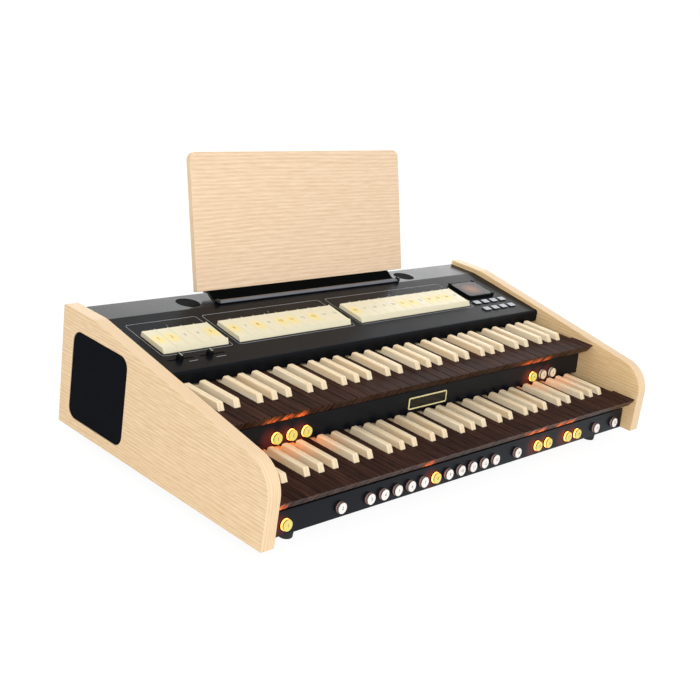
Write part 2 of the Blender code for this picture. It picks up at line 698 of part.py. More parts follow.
def grille_corners(grow):
    """Speaker opening, its upright edges leaning back, grown by grow."""
    low, high = GRILLE_FROM_BOTTOM - CHEEK_BOTTOM, GRILLE_FROM_BOTTOM - CHEEK_BOTTOM + GRILLE_HEIGHT
    corners = []
    for z, ends in ((low, (1, 0)), (high, (0, 1))):
        for front in ends:
            y = (rear_y(low) - GRILLE_FROM_REAR + (z - low) * tan(GRILLE_LEAN)
                 - front * GRILLE_WIDTH)
            corners.append((y + (-grow if front else grow), z + (grow if z == high else -grow),
                            GRILLE_RADIUS + grow))
    return corners


def build_cheeks():
    outline = rounded(cheek_outline(), 6)
    for side, name in ((-1, "left"), (1, "right")):
        inner, outer = INNER_HALF, INNER_HALF + CHEEK_THICK
        low, high = sorted((side * inner, side * outer))
        cheek = prism("cheek_" + name, outline, low, high, MATERIALS["wood"], ORGAN, rotation=SIDE_VIEW)
        tool = prism("grille_cut_" + name, rounded(grille_corners(SEAT), 4), low - PAST, high + PAST,
                     parent=ORGAN, rotation=SIDE_VIEW)
        cut(cheek, tool)
        bevel(cheek, CHEEK_EDGE)
        low, high = sorted((side * inner, side * (outer - GRILLE_INSET)))
        prism("grille_" + name, rounded(grille_corners(0), 4), low, high, MATERIALS["cloth"], ORGAN,
              rotation=SIDE_VIEW)


def build_base():
    """Base board with its feet, and the leaning rear panel with the mains inlet."""
    low, high = -CHEEK_BOTTOM, BASE_THICK - CHEEK_BOTTOM
    slip_foot = -SLIP_LOWER_SETBACK - LOWER_SLIP_HEIGHT * tan(SLIP_LEAN)
    front = slip_foot + SLIP_THICK / cos(SLIP_LEAN) + BASE_THICK * tan(SLIP_LEAN) + SEAT
    rear = rear_y(low) - REAR_INSET - REAR_THICK / cos(REAR_LEAN) - SEAT
    box("base_board", (-BETWEEN_HALF, front, low), (BETWEEN_HALF, rear, high), MATERIALS["board"], ORGAN)

    foot_x = INNER_HALF - FOOT_FROM_SIDE
    rows = {"front": front + FOOT_FROM_FRONT, "rear": rear - FOOT_FROM_REAR}
    columns = {"left": -foot_x, "right": foot_x}
    places = {f"{row}_{column}": (x, y) for row, y in rows.items() for column, x in columns.items()}
    for name, (x, y) in places.items():
        foot = rod("foot_" + name, FOOT_RADIUS - FOOT_TAPER, -FOOT_HEIGHT - SEAT, -SEAT, ORGAN,
                   (x, y, low), top=FOOT_RADIUS, material=MATERIALS["rubber"], sides=16)
        bevel(foot, FOOT_TAPER, radians(60))

    frame = new_empty("rear_face", ORGAN, (0, rear_y(low) - REAR_INSET, low), (-REAR_LEAN, 0, 0))
    height = (STRIP_Z - SHEET - SEAT - low) / cos(REAR_LEAN) - REAR_THICK * tan(REAR_LEAN)
    panel = box("rear_panel", (-BETWEEN_HALF, -REAR_THICK, 0), (BETWEEN_HALF, 0, height),
                MATERIALS["panel"], frame)
    build_inlet(frame, panel)


def build_inlet(frame, panel):
    """Mains inlet: flange outside the rear panel, body through it, cavity with three pins."""
    at = (INNER_HALF - INLET_FROM_SIDE, 0, INLET_RISE)
    width, height = INLET_BODY
    backward = (-pi / 2, 0, 0)
    hole = rectangle_points(width + 2 * SEAT, height + 2 * SEAT)
    cut(panel, prism("inlet_hole", hole, -REAR_THICK - SINK, SINK, None, frame, at, backward))
    inlet = prism("power_inlet", rectangle_points(INLET_WIDTH, INLET_HEIGHT, INLET_CORNER),
                  SEAT, SEAT + INLET_FLANGE, MATERIALS["inlet"], frame, at, backward)
    top, bottom = SEAT + INLET_FLANGE, -INLET_DEPTH
    join(inlet, prism("inlet_body", rectangle_points(width, height), bottom, top - SINK, None, frame, at,
                      backward))
    cavity = rectangle_points(width - 2 * INLET_WALL, height - 2 * INLET_WALL)
    floor = bottom + INLET_WALL
    cut(inlet, prism("inlet_cavity", cavity, floor, top + SINK, None, frame, at, backward))
    pins = []
    for x, y in ((-PIN_PITCH, -PIN_STEP / 2), (PIN_PITCH, -PIN_STEP / 2), (0, PIN_STEP / 2)):
        low = (x - PIN_THICK / 2, y - PIN_WIDTH / 2, floor - SINK)
        pins.append((box_mesh("pin", low, (x + PIN_THICK / 2, y + PIN_WIDTH / 2, floor + PIN_LENGTH)),
                     Matrix()))
    join(inlet, new_object("inlet_pins", gathered_mesh("inlet_pins", pins), None, frame, at, backward))


# Panel

def panel_layout():
    """Left edges of the tab banks and of the display, spread about the middle."""
    width = sum(BANKS) * TAB_PITCH + sum(BANK_GAPS) + DISPLAY_GAP + DISPLAY_WIDTH
    x = LAYOUT_SHIFT - width / 2
    lefts = []
    for count, gap in zip(BANKS, BANK_GAPS + (DISPLAY_GAP,)):
        lefts.append(x)
        x += count * TAB_PITCH + gap
    return lefts, x


def build_panel():
    """Folded sheet: front flange, slope and strip, with every cut-out that its fittings need."""
    front_z = STRIP_Z - PANEL_LENGTH * sin(PANEL_SLOPE)
    line = [(PANEL_FRONT_Y - PANEL_LEAN, MANUAL_RISE + PANEL_CLEAR), (PANEL_FRONT_Y, front_z),
            (CREASE_Y, STRIP_Z), (rear_y(STRIP_Z) - REAR_INSET, STRIP_Z)]
    bm = bmesh.new()
    verts = [bm.verts.new((-BETWEEN_HALF, y, z)) for y, z in line]
    edges = [bm.edges.new(pair) for pair in zip(verts, verts[1:])]
    swept = bmesh.ops.extrude_edge_only(bm, edges=edges)["geom"]
    moved = [v for v in swept if isinstance(v, bmesh.types.BMVert)]
    bmesh.ops.translate(bm, verts=moved, vec=(2 * BETWEEN_HALF, 0, 0))
    bmesh.ops.recalc_face_normals(bm, faces=bm.faces)
    if sum(face.normal.z for face in bm.faces) < 0:
        bmesh.ops.reverse_faces(bm, faces=bm.faces)
    mesh = bpy.data.meshes.new("top_panel")
    bm.to_mesh(mesh)
    bm.free()
    panel = new_object("top_panel", mesh, MATERIALS["panel"], ORGAN)
    shell = panel.modifiers.new("sheet", "SOLIDIFY")
    shell.thickness = SHEET
    shell.offset = -1
    shell.use_even_offset = True

    face = new_empty("panel_face", ORGAN, (0, CREASE_Y, STRIP_Z), (PANEL_SLOPE, 0, 0))
    banks, display_x = panel_layout()
    build_tabs(panel, face, banks)
    build_sliders(panel, face, banks[0])
    build_display(panel, face, display_x)
    build_buttons(panel, face, display_x)
    build_discs(panel)
    build_music_rest(panel)


def tab_mesh():
    """Rocker tab, origin on its pivot line, upright rear face and slanted front face."""
    half = (TAB_PITCH - TAB_GAP) / 2
    rear, front = TAB_PIVOT, TAB_PIVOT - TAB_LENGTH
    level, top = TAB_DEPTH, TAB_DEPTH + TAB_PROUD
    side = [(rear, 0), (rear, top), (front + TAB_SLANT, top), (front, level), (front, 0)]
    mesh = prism_mesh("tab", side, -half, half)
    mesh.transform(Matrix.Rotation(pi / 2, 4, "Z") @ Matrix.Rotation(pi / 2, 4, "X"))
    bm = bmesh.new()
    bm.from_mesh(mesh)
    bmesh.ops.dissolve_limit(bm, angle_limit=0.01, verts=bm.verts, edges=bm.edges)
    upper = [e for e in bm.edges if min(v.co.z for v in e.verts) > top - SINK]
    bmesh.ops.bevel(bm, geom=upper, offset=TAB_EDGE, segments=1, affect="EDGES")
    bm.to_mesh(mesh)
    bm.free()
    return mesh


def build_tabs(panel, face, banks):
    """Three banks of rocker tabs; the first bank moves, the others are fused to their rail."""
    mesh = tab_mesh()
    pivot_y = BANK_REAR_Y - TAB_PIVOT
    front_y = BANK_REAR_Y - TAB_LENGTH
    fixed = []
    for bank, (left, count) in enumerate(zip(banks, BANKS)):
        low = (left - WINDOW_AIR / 2, front_y - WINDOW_AIR, -SHEET - PAST)
        high = (left + count * TAB_PITCH + WINDOW_AIR / 2, BANK_REAR_Y + WINDOW_AIR, PAST)
        cut(panel, box(f"bank_window_{bank + 1}", low, high, parent=face))
        for k in range(count):
            at = (left + (k + 0.5) * TAB_PITCH, pivot_y, -TAB_DEPTH)
            if bank == 0:
                new_object(f"tab_{k + 1}", mesh, MATERIALS["tab"], face, at)
            else:
                fixed.append((mesh, Matrix.Translation(at)))

    start = banks[0] - TAB_POST
    end = banks[-1] + BANKS[-1] * TAB_PITCH + TAB_POST
    split = banks[1] - BANK_GAPS[0] / 2
    near, far = pivot_y - TAB_RIDGE / 2, pivot_y + TAB_RIDGE / 2
    ridge = -TAB_DEPTH + SINK
    side = [(front_y, -RAIL_DEPTH), (front_y, -RAIL_DEPTH - TAB_RAIL_THICK),
            (BANK_REAR_Y, -RAIL_DEPTH - TAB_RAIL_THICK), (BANK_REAR_Y, -RAIL_DEPTH),
            (far, -RAIL_DEPTH), (far, ridge), (near, ridge), (near, -RAIL_DEPTH)]
    rail = prism("tab_rail", side, start, end, MATERIALS["tab"], face, rotation=SIDE_VIEW)
    cut(rail, box("tab_ridge_cut", (start - SINK, near - SINK, -TAB_DEPTH - SEAT),
                  (split, far + SINK, 0), parent=face))
    posts = []
    middles = [start + TAB_POST / 4, split, banks[2] - BANK_GAPS[1] / 2, end - TAB_POST / 4]
    for x in middles:
        posts.append((box_mesh("post", (x - TAB_POST / 4, front_y + SINK, -RAIL_DEPTH - SINK),
                               (x + TAB_POST / 4, BANK_REAR_Y - SINK, -SHEET - SEAT)), Matrix()))
    join(rail, new_object("tab_posts", gathered_mesh("tab_posts", posts), parent=face))
    join(rail, new_object("fixed_tabs", gathered_mesh("fixed_tabs", fixed), parent=face))


def build_sliders(panel, face, bank_x):
    """Two level sliders: a slot in the panel and a knob whose stem stands in it."""
    y = -PANEL_LENGTH + SLIDER_FROM_FRONT
    for number, shift in enumerate(KNOB_PLACES, 1):
        x = bank_x + SLOT_FROM_BANK + (number - 1) * (SLOT_LENGTH + SLOT_SPACE) + SLOT_LENGTH / 2
        slot = rounded(rectangle(SLOT_LENGTH, SLOT_WIDTH, SLOT_WIDTH * 0.49), 2)
        cut(panel, prism(f"slot_{number}", slot, -SHEET - PAST, PAST, None, face, (x, y, 0)))
        knob = box(f"slider_{number}", (-KNOB_WIDTH / 2, -KNOB_LENGTH / 2, SEAT),
                   (KNOB_WIDTH / 2, KNOB_LENGTH / 2, KNOB_HEIGHT), MATERIALS["knob"], face, (x + shift, y, 0))
        for vert in knob.data.vertices:
            if vert.co.z > SEAT * 2:
                vert.co.x -= KNOB_DRAFT if vert.co.x > 0 else -KNOB_DRAFT
                vert.co.y -= KNOB_DRAFT if vert.co.y > 0 else -KNOB_DRAFT
        bevel(knob, KNOB_DRAFT)
        stem_width = SLOT_WIDTH - 2 * RUN
        stem = rounded(rectangle(STEM_LENGTH, stem_width, stem_width * 0.49), 2)
        join(knob, prism(f"stem_{number}", stem, -STEM_DEPTH, SEAT + 2 * SINK, None, face,
                         (x + shift, y, 0)))


def build_display(panel, face, left):
    """Display block with a skirt through the panel, the tinted pane in its pocket, corner clips."""
    rows = BUTTON_FROM_FRONT + BUTTON_ROW_PITCH + BUTTON_LENGTH / 2
    centre = (left + DISPLAY_WIDTH / 2, -PANEL_LENGTH + rows + DISPLAY_FROM_BUTTONS + DISPLAY_LENGTH / 2, 0)
    pane = (DISPLAY_WIDTH - 2 * DISPLAY_FRAME, DISPLAY_LENGTH - 2 * DISPLAY_FRAME)
    skirt = (DISPLAY_WIDTH - DISPLAY_FRAME, DISPLAY_LENGTH - DISPLAY_FRAME)
    hole = rectangle_points(skirt[0] + 2 * SEAT, skirt[1] + 2 * SEAT)
    cut(panel, prism("display_hole", hole, -SHEET - PAST, PAST, None, face, centre))
    bezel = prism("display_bezel", rectangle_points(DISPLAY_WIDTH, DISPLAY_LENGTH, DISPLAY_RADIUS),
                  SEAT, DISPLAY_PROUD, MATERIALS["bezel"], face, centre)
    join(bezel, prism("display_skirt", rectangle_points(*skirt), -DISPLAY_SKIRT, SEAT + SINK, None, face,
                      centre))
    floor = DISPLAY_PROUD - PANE_BELOW - PANE_THICK - SEAT
    pocket = rectangle_points(pane[0] + 2 * SEAT, pane[1] + 2 * SEAT)
    cut(bezel, prism("display_pocket", pocket, floor, DISPLAY_PROUD + SINK, None, face, centre))
    clips = []
    for x, y in ((-1, -1), (1, -1), (1, 1), (-1, 1)):
        low, high = sorted((x * DISPLAY_WIDTH / 2, x * (DISPLAY_WIDTH / 2 - CLIP_WIDTH)))
        near, far = sorted((y * DISPLAY_LENGTH / 2, y * (DISPLAY_LENGTH / 2 - CLIP_LENGTH)))
        clips.append((box_mesh("clip", (low, near, DISPLAY_PROUD - PANE_BELOW / 2),
                               (high, far, DISPLAY_PROUD + CLIP_RISE)), Matrix()))
    join(bezel, new_object("display_clips", gathered_mesh("display_clips", clips), None, face, centre))
    prism("display_window", rectangle_points(*pane), floor + SEAT, floor + SEAT + PANE_THICK,
          MATERIALS["glass"], face, centre)


def build_buttons(panel, face, left):
    """Two rows of buttons: most stand fused on the panel, the moving ones run in holes."""
    outline = rectangle_points(BUTTON_WIDTH, BUTTON_LENGTH, BUTTON_RADIUS)
    hole = rectangle_points(BUTTON_WIDTH + 2 * RUN, BUTTON_LENGTH + 2 * RUN, BUTTON_RADIUS + RUN)
    flange = rectangle_points(BUTTON_WIDTH + 2 * BUTTON_LIP, BUTTON_LENGTH + 2 * BUTTON_LIP)
    fixed = []
    number = 0
    for row in range(2):
        for column in range(BUTTON_COLUMNS):
            at = (left + BUTTON_FROM_DISPLAY + column * BUTTON_PITCH,
                  -PANEL_LENGTH + BUTTON_FROM_FRONT + row * BUTTON_ROW_PITCH, 0)
            if (column, row) not in MOVING_BUTTONS:
                fixed.append((prism_mesh("button", outline, -SINK, BUTTON_PROUD), Matrix.Translation(at)))
                continue
            number += 1
            button = prism(f"button_{number}", outline, -BUTTON_DEPTH, BUTTON_PROUD, MATERIALS["button"],
                           face, at)
            low = -SHEET - SEAT - BUTTON_LIP
            join(button, prism(f"button_flange_{number}", flange, low, -SHEET - SEAT, None, face, at))
            cut(panel, prism(f"button_hole_{number}", hole, -SHEET - PAST, PAST, None, face, at))
    join(panel, new_object("fixed_buttons", gathered_mesh("fixed_buttons", fixed), parent=face))


def build_discs(panel):
    """Round caps let into the strip on both sides of the music rest."""
    for side, name in ((-1, "left"), (1, "right")):
        at = (side * (LEDGE_LENGTH / 2 + DISC_GAP + DISC_RADIUS), CREASE_Y + DISC_FROM_CREASE, STRIP_Z)
        rod("disc_" + name, DISC_RADIUS, DISC_PROUD - DISC_THICK, DISC_PROUD, ORGAN, at,
            material=MATERIALS["bezel"], sides=24)
        cut(panel, rod("disc_hole_" + name, DISC_RADIUS + SEAT / cos(pi / 24), -SHEET - PAST, PAST, ORGAN,
                       at, sides=24))


# Music rest

def ledge_side():
    """Side view of the ledge: rounded lip, trough, rising back and the shelf under the board."""
    trough = LIP_DEPTH + 0.2 * LIP_RISE
    floor_end = trough + TROUGH_DEPTH - 0.2 * LIP_RISE
    shelf_y = LEDGE_DEPTH + DESK_THICK * cos(DESK_TILT)
    shelf_z = LEDGE_RISE - DESK_THICK * sin(DESK_TILT)
    floor = TROUGH_RISE + FLOOR_RISE
    rise = sqrt((LEDGE_DEPTH - floor_end) ** 2 + (LEDGE_RISE - floor) ** 2)
    back_y = LEDGE_SHEET * (LEDGE_RISE - floor) / rise
    return [(0.2 * LIP_DEPTH, SEAT), (LIP_DEPTH, SEAT), (floor_end, floor - LEDGE_SHEET),
            (LEDGE_DEPTH + back_y / 3, LEDGE_RISE - 1.1 * LEDGE_SHEET), (shelf_y, shelf_z - LEDGE_SHEET),
            (shelf_y, shelf_z), (LEDGE_DEPTH, LEDGE_RISE), (floor_end, floor),
            (trough, TROUGH_RISE), (LIP_DEPTH, 0.85 * LIP_RISE), (0.75 * LIP_DEPTH, LIP_RISE),
            (0.35 * LIP_DEPTH, 0.93 * LIP_RISE), (0.07 * LIP_DEPTH, 0.7 * LIP_RISE), (0, 0.4 * LIP_RISE)]


def build_music_rest(panel):
    """Ledge on two pegs that stand in the strip, and the board on its rear shelf."""
    front = CREASE_Y + LEDGE_FROM_CREASE
    half = LEDGE_LENGTH / 2
    ledge = prism("music_ledge", ledge_side(), -half, half, MATERIALS["ledge"], ORGAN,
                  (0, front, STRIP_Z), SIDE_VIEW)
    peg_y = front + LIP_DEPTH + TROUGH_DEPTH / 2
    for side, name in ((-1, "left"), (1, "right")):
        at = (side * (half - PEG_FROM_END), peg_y, STRIP_Z)
        join(ledge, rod("peg_" + name, PEG_RADIUS, -PEG_LENGTH, SEAT + 3 * SINK, ORGAN, at, sides=12))
        cut(panel, rod("peg_hole_" + name, (PEG_RADIUS + RUN) / cos(pi / 12), -SHEET - PAST, PAST, ORGAN,
                       at, sides=12))
    tilt = new_empty("desk_face", ORGAN, (DESK_SHIFT, LEDGE_FACE_Y, DESK_FOOT_Z), (-DESK_TILT, 0, 0))
    w = DESK_WIDTH / 2
    outline = rounded([(-w, 0, 0), (w, 0, 0), (w, DESK_HEIGHT, DESK_RADIUS),
                       (-w, DESK_HEIGHT, DESK_RADIUS)], 5)
    desk = prism("music_desk", outline, -DESK_THICK, 0, MATERIALS["wood"], tilt, rotation=FRONT_VIEW)
    bevel(desk, DESK_EDGE)


clear_scene()
PARTS = new_collection("electronic_organ")
CUTTERS = new_collection("cutters")
MATERIALS = {
    "wood": new_material("pale oak veneer", (0.72, 0.52, 0.33), 0.45),
    "keys": new_material("dark wenge keys", (0.055, 0.022, 0.016), 0.45),
    "sharps": new_material("pale maple sharps", (0.78, 0.60, 0.40), 0.40),
    "slip": new_material("black lacquered slip", (0.012, 0.012, 0.014), 0.35),
    "panel": new_material("black powder-coated sheet", (0.014, 0.015, 0.018), 0.50),
    "board": new_material("black base board", (0.020, 0.020, 0.020), 0.70),
    "cloth": new_material("black speaker cloth", (0.008, 0.008, 0.009), 0.95),
    "rubber": new_material("black rubber", (0.015, 0.015, 0.015), 0.80),
    "piston": new_material("translucent piston", (0.85, 0.50, 0.15), 0.30),
    "brass": new_material("gilt nameplate", (0.60, 0.42, 0.16), 0.35, 1.0),
    "tab": new_material("cream rocker tabs", (0.80, 0.72, 0.48), 0.35),
    "knob": new_material("black slider knob", (0.010, 0.010, 0.010), 0.40),
    "bezel": new_material("black moulded trim", (0.012, 0.012, 0.013), 0.45),
    "glass": new_material("tinted display pane", (0.060, 0.030, 0.028), 0.10),
    "button": new_material("grey buttons", (0.42, 0.43, 0.44), 0.50),
    "ledge": new_material("black anodised ledge", (0.015, 0.015, 0.016), 0.35, 0.6),
    "inlet": new_material("black inlet moulding", (0.012, 0.012, 0.012), 0.45),
}
ORGAN = new_empty("organ", location=ORGAN_AT)
build_cheeks()
build_base()
build_manuals()
build_slips()
build_panel()
for cheek in ("cheek_left", "cheek_right"):
    shade_round(bpy.data.objects[cheek], radians(20))
print(f"natural travel {degrees(KEY_ANGLE):.2f} degrees, depth {DEPTH_REAR - DEPTH_FRONT:.4f} m")
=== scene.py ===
# %% [markdown]
# # A table-top organ with two manuals
# The organ's solids are packed already, each in its place, in metres, with the player at -Y and X to the
# player's right. This lesson dresses them: it builds the pieces that the eye looks at, gives each one the
# finish of its real material, and sets up a camera and soft light to look at them with.

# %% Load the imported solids
from math import atan2, cos, pi, radians, sin, tan

import bmesh
import bpy
from mathutils import Matrix, Vector


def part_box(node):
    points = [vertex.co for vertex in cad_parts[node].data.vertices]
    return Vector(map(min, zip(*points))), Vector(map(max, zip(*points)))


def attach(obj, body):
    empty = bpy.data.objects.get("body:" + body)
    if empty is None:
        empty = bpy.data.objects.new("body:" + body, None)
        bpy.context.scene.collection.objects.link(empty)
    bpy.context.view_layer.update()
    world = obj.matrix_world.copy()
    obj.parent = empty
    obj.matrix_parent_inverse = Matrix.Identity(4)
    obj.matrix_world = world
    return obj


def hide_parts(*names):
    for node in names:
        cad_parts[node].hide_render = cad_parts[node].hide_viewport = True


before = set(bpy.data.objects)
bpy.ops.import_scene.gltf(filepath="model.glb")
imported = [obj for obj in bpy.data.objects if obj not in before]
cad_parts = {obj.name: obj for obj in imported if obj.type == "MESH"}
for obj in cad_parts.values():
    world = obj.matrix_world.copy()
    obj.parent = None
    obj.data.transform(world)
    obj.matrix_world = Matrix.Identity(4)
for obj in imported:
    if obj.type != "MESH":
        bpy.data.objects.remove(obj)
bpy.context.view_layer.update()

# %% [markdown]
# The viewpoint is a person's, standing at the left front corner and looking down a little. Its place and
# angles come from fitting a camera to the corners of the keys and cheeks. The lens is a short telephoto, which
# keeps the long keyboards from fanning out.

# %% Camera
lens = bpy.data.cameras.new("camera")
lens.sensor_width = 36
lens.lens = 63.34
lens.shift_x, lens.shift_y = -0.0011, 0.0010
camera = bpy.data.objects.new("camera", lens)
turn = Matrix.Rotation(radians(-49.796), 4, "Z") @ Matrix.Rotation(radians(71.351), 4, "X")
camera.matrix_world = (Matrix.Translation((-1.43071, -1.15848, 0.74883)) @ turn
                       @ Matrix.Rotation(radians(10.446), 4, "Z"))
bpy.context.scene.collection.objects.link(camera)
bpy.context.scene.camera = camera
bpy.context.scene.view_settings.view_transform = "Standard"
print("camera stands", round(camera.matrix_world.translation.length, 2), "m from the organ's middle")

# %% [markdown]
# Colours are written as the hex values that a paint program shows, and shaders want linear light, so one
# function turns one into the other. A second one adds a shader node with its settings and links, which keeps
# every material below short enough to read.

# %% Colour and shader helpers
def linear(hex_colour):
    """sRGB hex such as "#f1d5b3" as the linear colour that a shader takes."""
    channels = [int(hex_colour[i:i + 2], 16) / 255 for i in (1, 3, 5)]
    return (*[c / 12.92 if c <= 0.04045 else ((c + 0.055) / 1.055) ** 2.4 for c in channels], 1.0)


def add(tree, kind, sockets=None, **settings):
    """Adds a node; a value in sockets is written to that input, another node's output is linked to it."""
    made = tree.nodes.new(kind)
    for name, value in settings.items():
        setattr(made, name, value)
    for name, source in (sockets or {}).items():
        if isinstance(source, bpy.types.NodeSocket):
            tree.links.new(source, made.inputs[name])
        else:
            made.inputs[name].default_value = source
    return made


def looks(tree):
    """1 for a ray that looks at a thing, straight or in a mirror or glass, and 0 for one that only lights."""
    rays = add(tree, "ShaderNodeLightPath")
    most = rays.outputs["Is Camera Ray"]
    for kind in ("Is Glossy Ray", "Is Transmission Ray"):
        most = add(tree, "ShaderNodeMath", {0: most, 1: rays.outputs[kind]}, operation="MAXIMUM").outputs[0]
    return most


print("linear grey of #808080:", round(linear("#808080")[0], 3))

# %% [markdown]
# A product studio is a white room: light comes from everywhere, a little more from above and from the
# player's left. The world gives the even part, at a level where a white card renders white. A low bright wall
# far behind the organ is what the level black sheet mirrors at a flat angle, which turns it grey in the eye.

# %% World and lamps
world = bpy.data.worlds.new("studio")
bpy.context.scene.world = world
world.use_nodes = True
tree = world.node_tree
tree.nodes.clear()
light = add(tree, "ShaderNodeBackground", {"Color": (1, 1, 1, 1), "Strength": 0.62})
white = add(tree, "ShaderNodeBackground", {"Color": (1, 1, 1, 1), "Strength": 1.0})
both = add(tree, "ShaderNodeMixShader", {0: looks(tree), 1: light.outputs[0], 2: white.outputs[0]})
add(tree, "ShaderNodeOutputWorld", {"Surface": both.outputs[0]})


def lamp(name, place, target, width, height, power):
    """Soft box that faces a target."""
    data = bpy.data.lights.new(name, "AREA")
    data.shape = "RECTANGLE"
    data.size, data.size_y, data.energy = width, height, power
    box = bpy.data.objects.new(name, data)
    aim = (Vector(target) - Vector(place)).to_track_quat("-Z", "Y")
    box.matrix_world = Matrix.Translation(place) @ aim.to_matrix().to_4x4()
    bpy.context.scene.collection.objects.link(box)


lamp("ceiling", (-0.3, -0.3, 2.6), (0, 0, 0.2), 2.6, 2.6, 14)
lamp("front_window", (-2.3, -3.2, 1.8), (0, 0, 0.2), 2.6, 2.6, 80)
lamp("low_wall", (1.69, 2.17, 0.80), (0, 0, 0.3), 3.0, 0.72, 22)

# %% [markdown]
# The organ stands on a white table. To the camera most of its brightness is its own, so it melts into the
# white room, and the rest is real light, which keeps the soft shadow under the case.

# %% Floor
def start_finish(name, colour, roughness, metallic=0.0, ior=None):
    """New material with a Principled shader, and the place on the piece in metres."""
    material = bpy.data.materials.new(name)
    material.use_nodes = True
    tree = material.node_tree
    shader = tree.nodes["Principled BSDF"]
    shader.inputs["Base Color"].default_value = linear(colour)
    shader.inputs["Roughness"].default_value = roughness
    shader.inputs["Metallic"].default_value = metallic
    if ior:
        shader.inputs["IOR"].default_value = ior
    place = add(tree, "ShaderNodeTexCoord").outputs["Object"]
    return material, tree, shader, place


table_top, tree, shader, place = start_finish("white_table", "#f2f2f2", 0.9)
glow = add(tree, "ShaderNodeEmission", {"Color": (1, 1, 1, 1), "Strength": 1.06})
share = add(tree, "ShaderNodeMath", {0: looks(tree), 1: 0.88}, operation="MULTIPLY")
both = add(tree, "ShaderNodeMixShader", {0: share.outputs[0], 1: shader.outputs[0], 2: glow.outputs[0]})
tree.links.new(both.outputs[0], tree.nodes["Material Output"].inputs["Surface"])

bm = bmesh.new()
bmesh.ops.create_grid(bm, x_segments=1, y_segments=1, size=60)
mesh = bpy.data.meshes.new("table")
bm.to_mesh(mesh)
bm.free()
mesh.materials.append(table_top)
table = bpy.data.objects.new("table", mesh)
bpy.context.scene.collection.objects.link(table)
print("table:", len(mesh.polygons), "face")

# %% [markdown]
# ## Finishes
# Wood is long fibres between darker lines of late wood. A wave gives the lines and a noise the fibres, both
# stretched along the grain, and a broad noise lets them come and go. The fibres also roughen the surface and
# raise it by some hundredths of a millimetre, so colour and gloss agree as they do on real timber.

# %% Wood
def wood(name, pale, dark, along, lines, line_mm, fibre_mm, roughness, specular, contrast, fibres=0.4):
    """Timber with its grain along one or two axes and lines that follow each other along another one."""
    material, tree, shader, place = start_finish(name, pale, roughness)
    stretch = [0.09 if axis in along else 1 for axis in "XYZ"]
    drawn = add(tree, "ShaderNodeMapping", {"Vector": place, "Scale": stretch})
    rings = add(tree, "ShaderNodeTexWave", {"Vector": drawn.outputs[0], "Scale": 314 / line_mm,
                                            "Distortion": 9.0, "Detail": 3.0, "Detail Scale": 0.6},
                bands_direction=lines)
    fibre = add(tree, "ShaderNodeTexNoise", {"Vector": drawn.outputs[0], "Scale": 1000 / fibre_mm,
                                             "Detail": 3.0, "Roughness": 0.6})
    cloud = add(tree, "ShaderNodeTexNoise", {"Vector": drawn.outputs[0], "Scale": 60.0, "Detail": 2.0})
    both = add(tree, "ShaderNodeMix", {0: fibres, 2: rings.outputs["Fac"], 3: fibre.outputs["Fac"]})
    both = add(tree, "ShaderNodeMix", {0: 0.07, 2: both.outputs[0], 3: cloud.outputs["Fac"]})
    spread = add(tree, "ShaderNodeMapRange", {"Value": both.outputs[0], "From Min": 0.5 - contrast / 2,
                                              "From Max": 0.5 + contrast / 2})
    tint = add(tree, "ShaderNodeMix", {0: spread.outputs[0], 6: linear(dark), 7: linear(pale)},
               data_type="RGBA")
    tree.links.new(tint.outputs[2], shader.inputs["Base Color"])
    dull = add(tree, "ShaderNodeMapRange", {"Value": fibre.outputs["Fac"], "To Min": roughness - 0.08,
                                            "To Max": roughness + 0.08})
    tree.links.new(dull.outputs[0], shader.inputs["Roughness"])
    bump = add(tree, "ShaderNodeBump", {"Height": fibre.outputs["Fac"], "Distance": 0.00002})
    tree.links.new(bump.outputs[0], shader.inputs["Normal"])
    shader.inputs["Specular IOR Level"].default_value = specular
    return material


# Sliced maple veneer under satin lacquer: pale, straight and fine, read across a room as a plain warm cream.
# Its lines are 1 mm apart. They are drawn several times as far apart, or they wouldn't show in the picture.
cheek_veneer = wood("maple_veneer_cheeks", "#fce1b9", "#e0bc8e", "Y", "Z", 5.0, 2.0, 0.5, 0.3, 0.5, 0.78)
# The inner faces get a warmer, deeper copy of the veneer: painted warm light from the keys and lit pistons.
veneer_painted_warm_light = wood("maple_veneer_painted_warm_light", "#ffe2b0", "#e8be86", "Y", "Z", 5.0, 2.4, 0.5, 0.3, 0.5, 0.78)
board_veneer = wood("maple_veneer_board", "#fbe1c4", "#e2c09a", "X", "Z", 6.0, 2.7, 0.5, 0.3, 0.55, 0.78)
# The edges carry a thicker band of the same maple, whose lines run along the edge, level or upright.
cheek_band = wood("maple_edge_band_cheeks", "#f7dcb8", "#e4c398", "YZ", "X", 3.8, 1.6, 0.45, 0.3, 0.8, 0.5)
board_band = wood("maple_edge_band_board", "#f8debb", "#e2c298", "XZ", "Y", 5.5, 2.0, 0.45, 0.3, 0.6, 1.0)
# Wenge is nearly black with brown streaks that run with the key. Oil leaves its pores open: it hardly shines.
wenge = wood("oiled_wenge", "#4c3027", "#0c0605", "Y", "X", 11.0, 3.2, 0.55, 0.03, 0.55, 0.85)
# The slanted fronts of those keys are sanded and waxed, and a lighter copy of the wenge paints the sheen
# that they show. They are seen at a flat angle, at which even a dull wax mirrors some of the white table, so
# their specular level is low too.
wenge_front_painted_light = wood("wenge_front_painted_sheen_and_glow", "#5a3a2a", "#120a07", "Z", "X", 11.0, 3.0, 0.34, 0.06, 0.32, 0.8)
# Solid maple, planed and waxed: the sharps show short fibres along the key.
maple_keys_painted_glow = wood("waxed_solid_maple_painted_glow", "#fff2d4", "#f4d4a6", "Y", "X", 6.0, 1.8, 0.42, 0.35, 0.5, 0.7)
print("timbers:", [m.name for m in bpy.data.materials if "maple" in m.name or "wenge" in m.name])

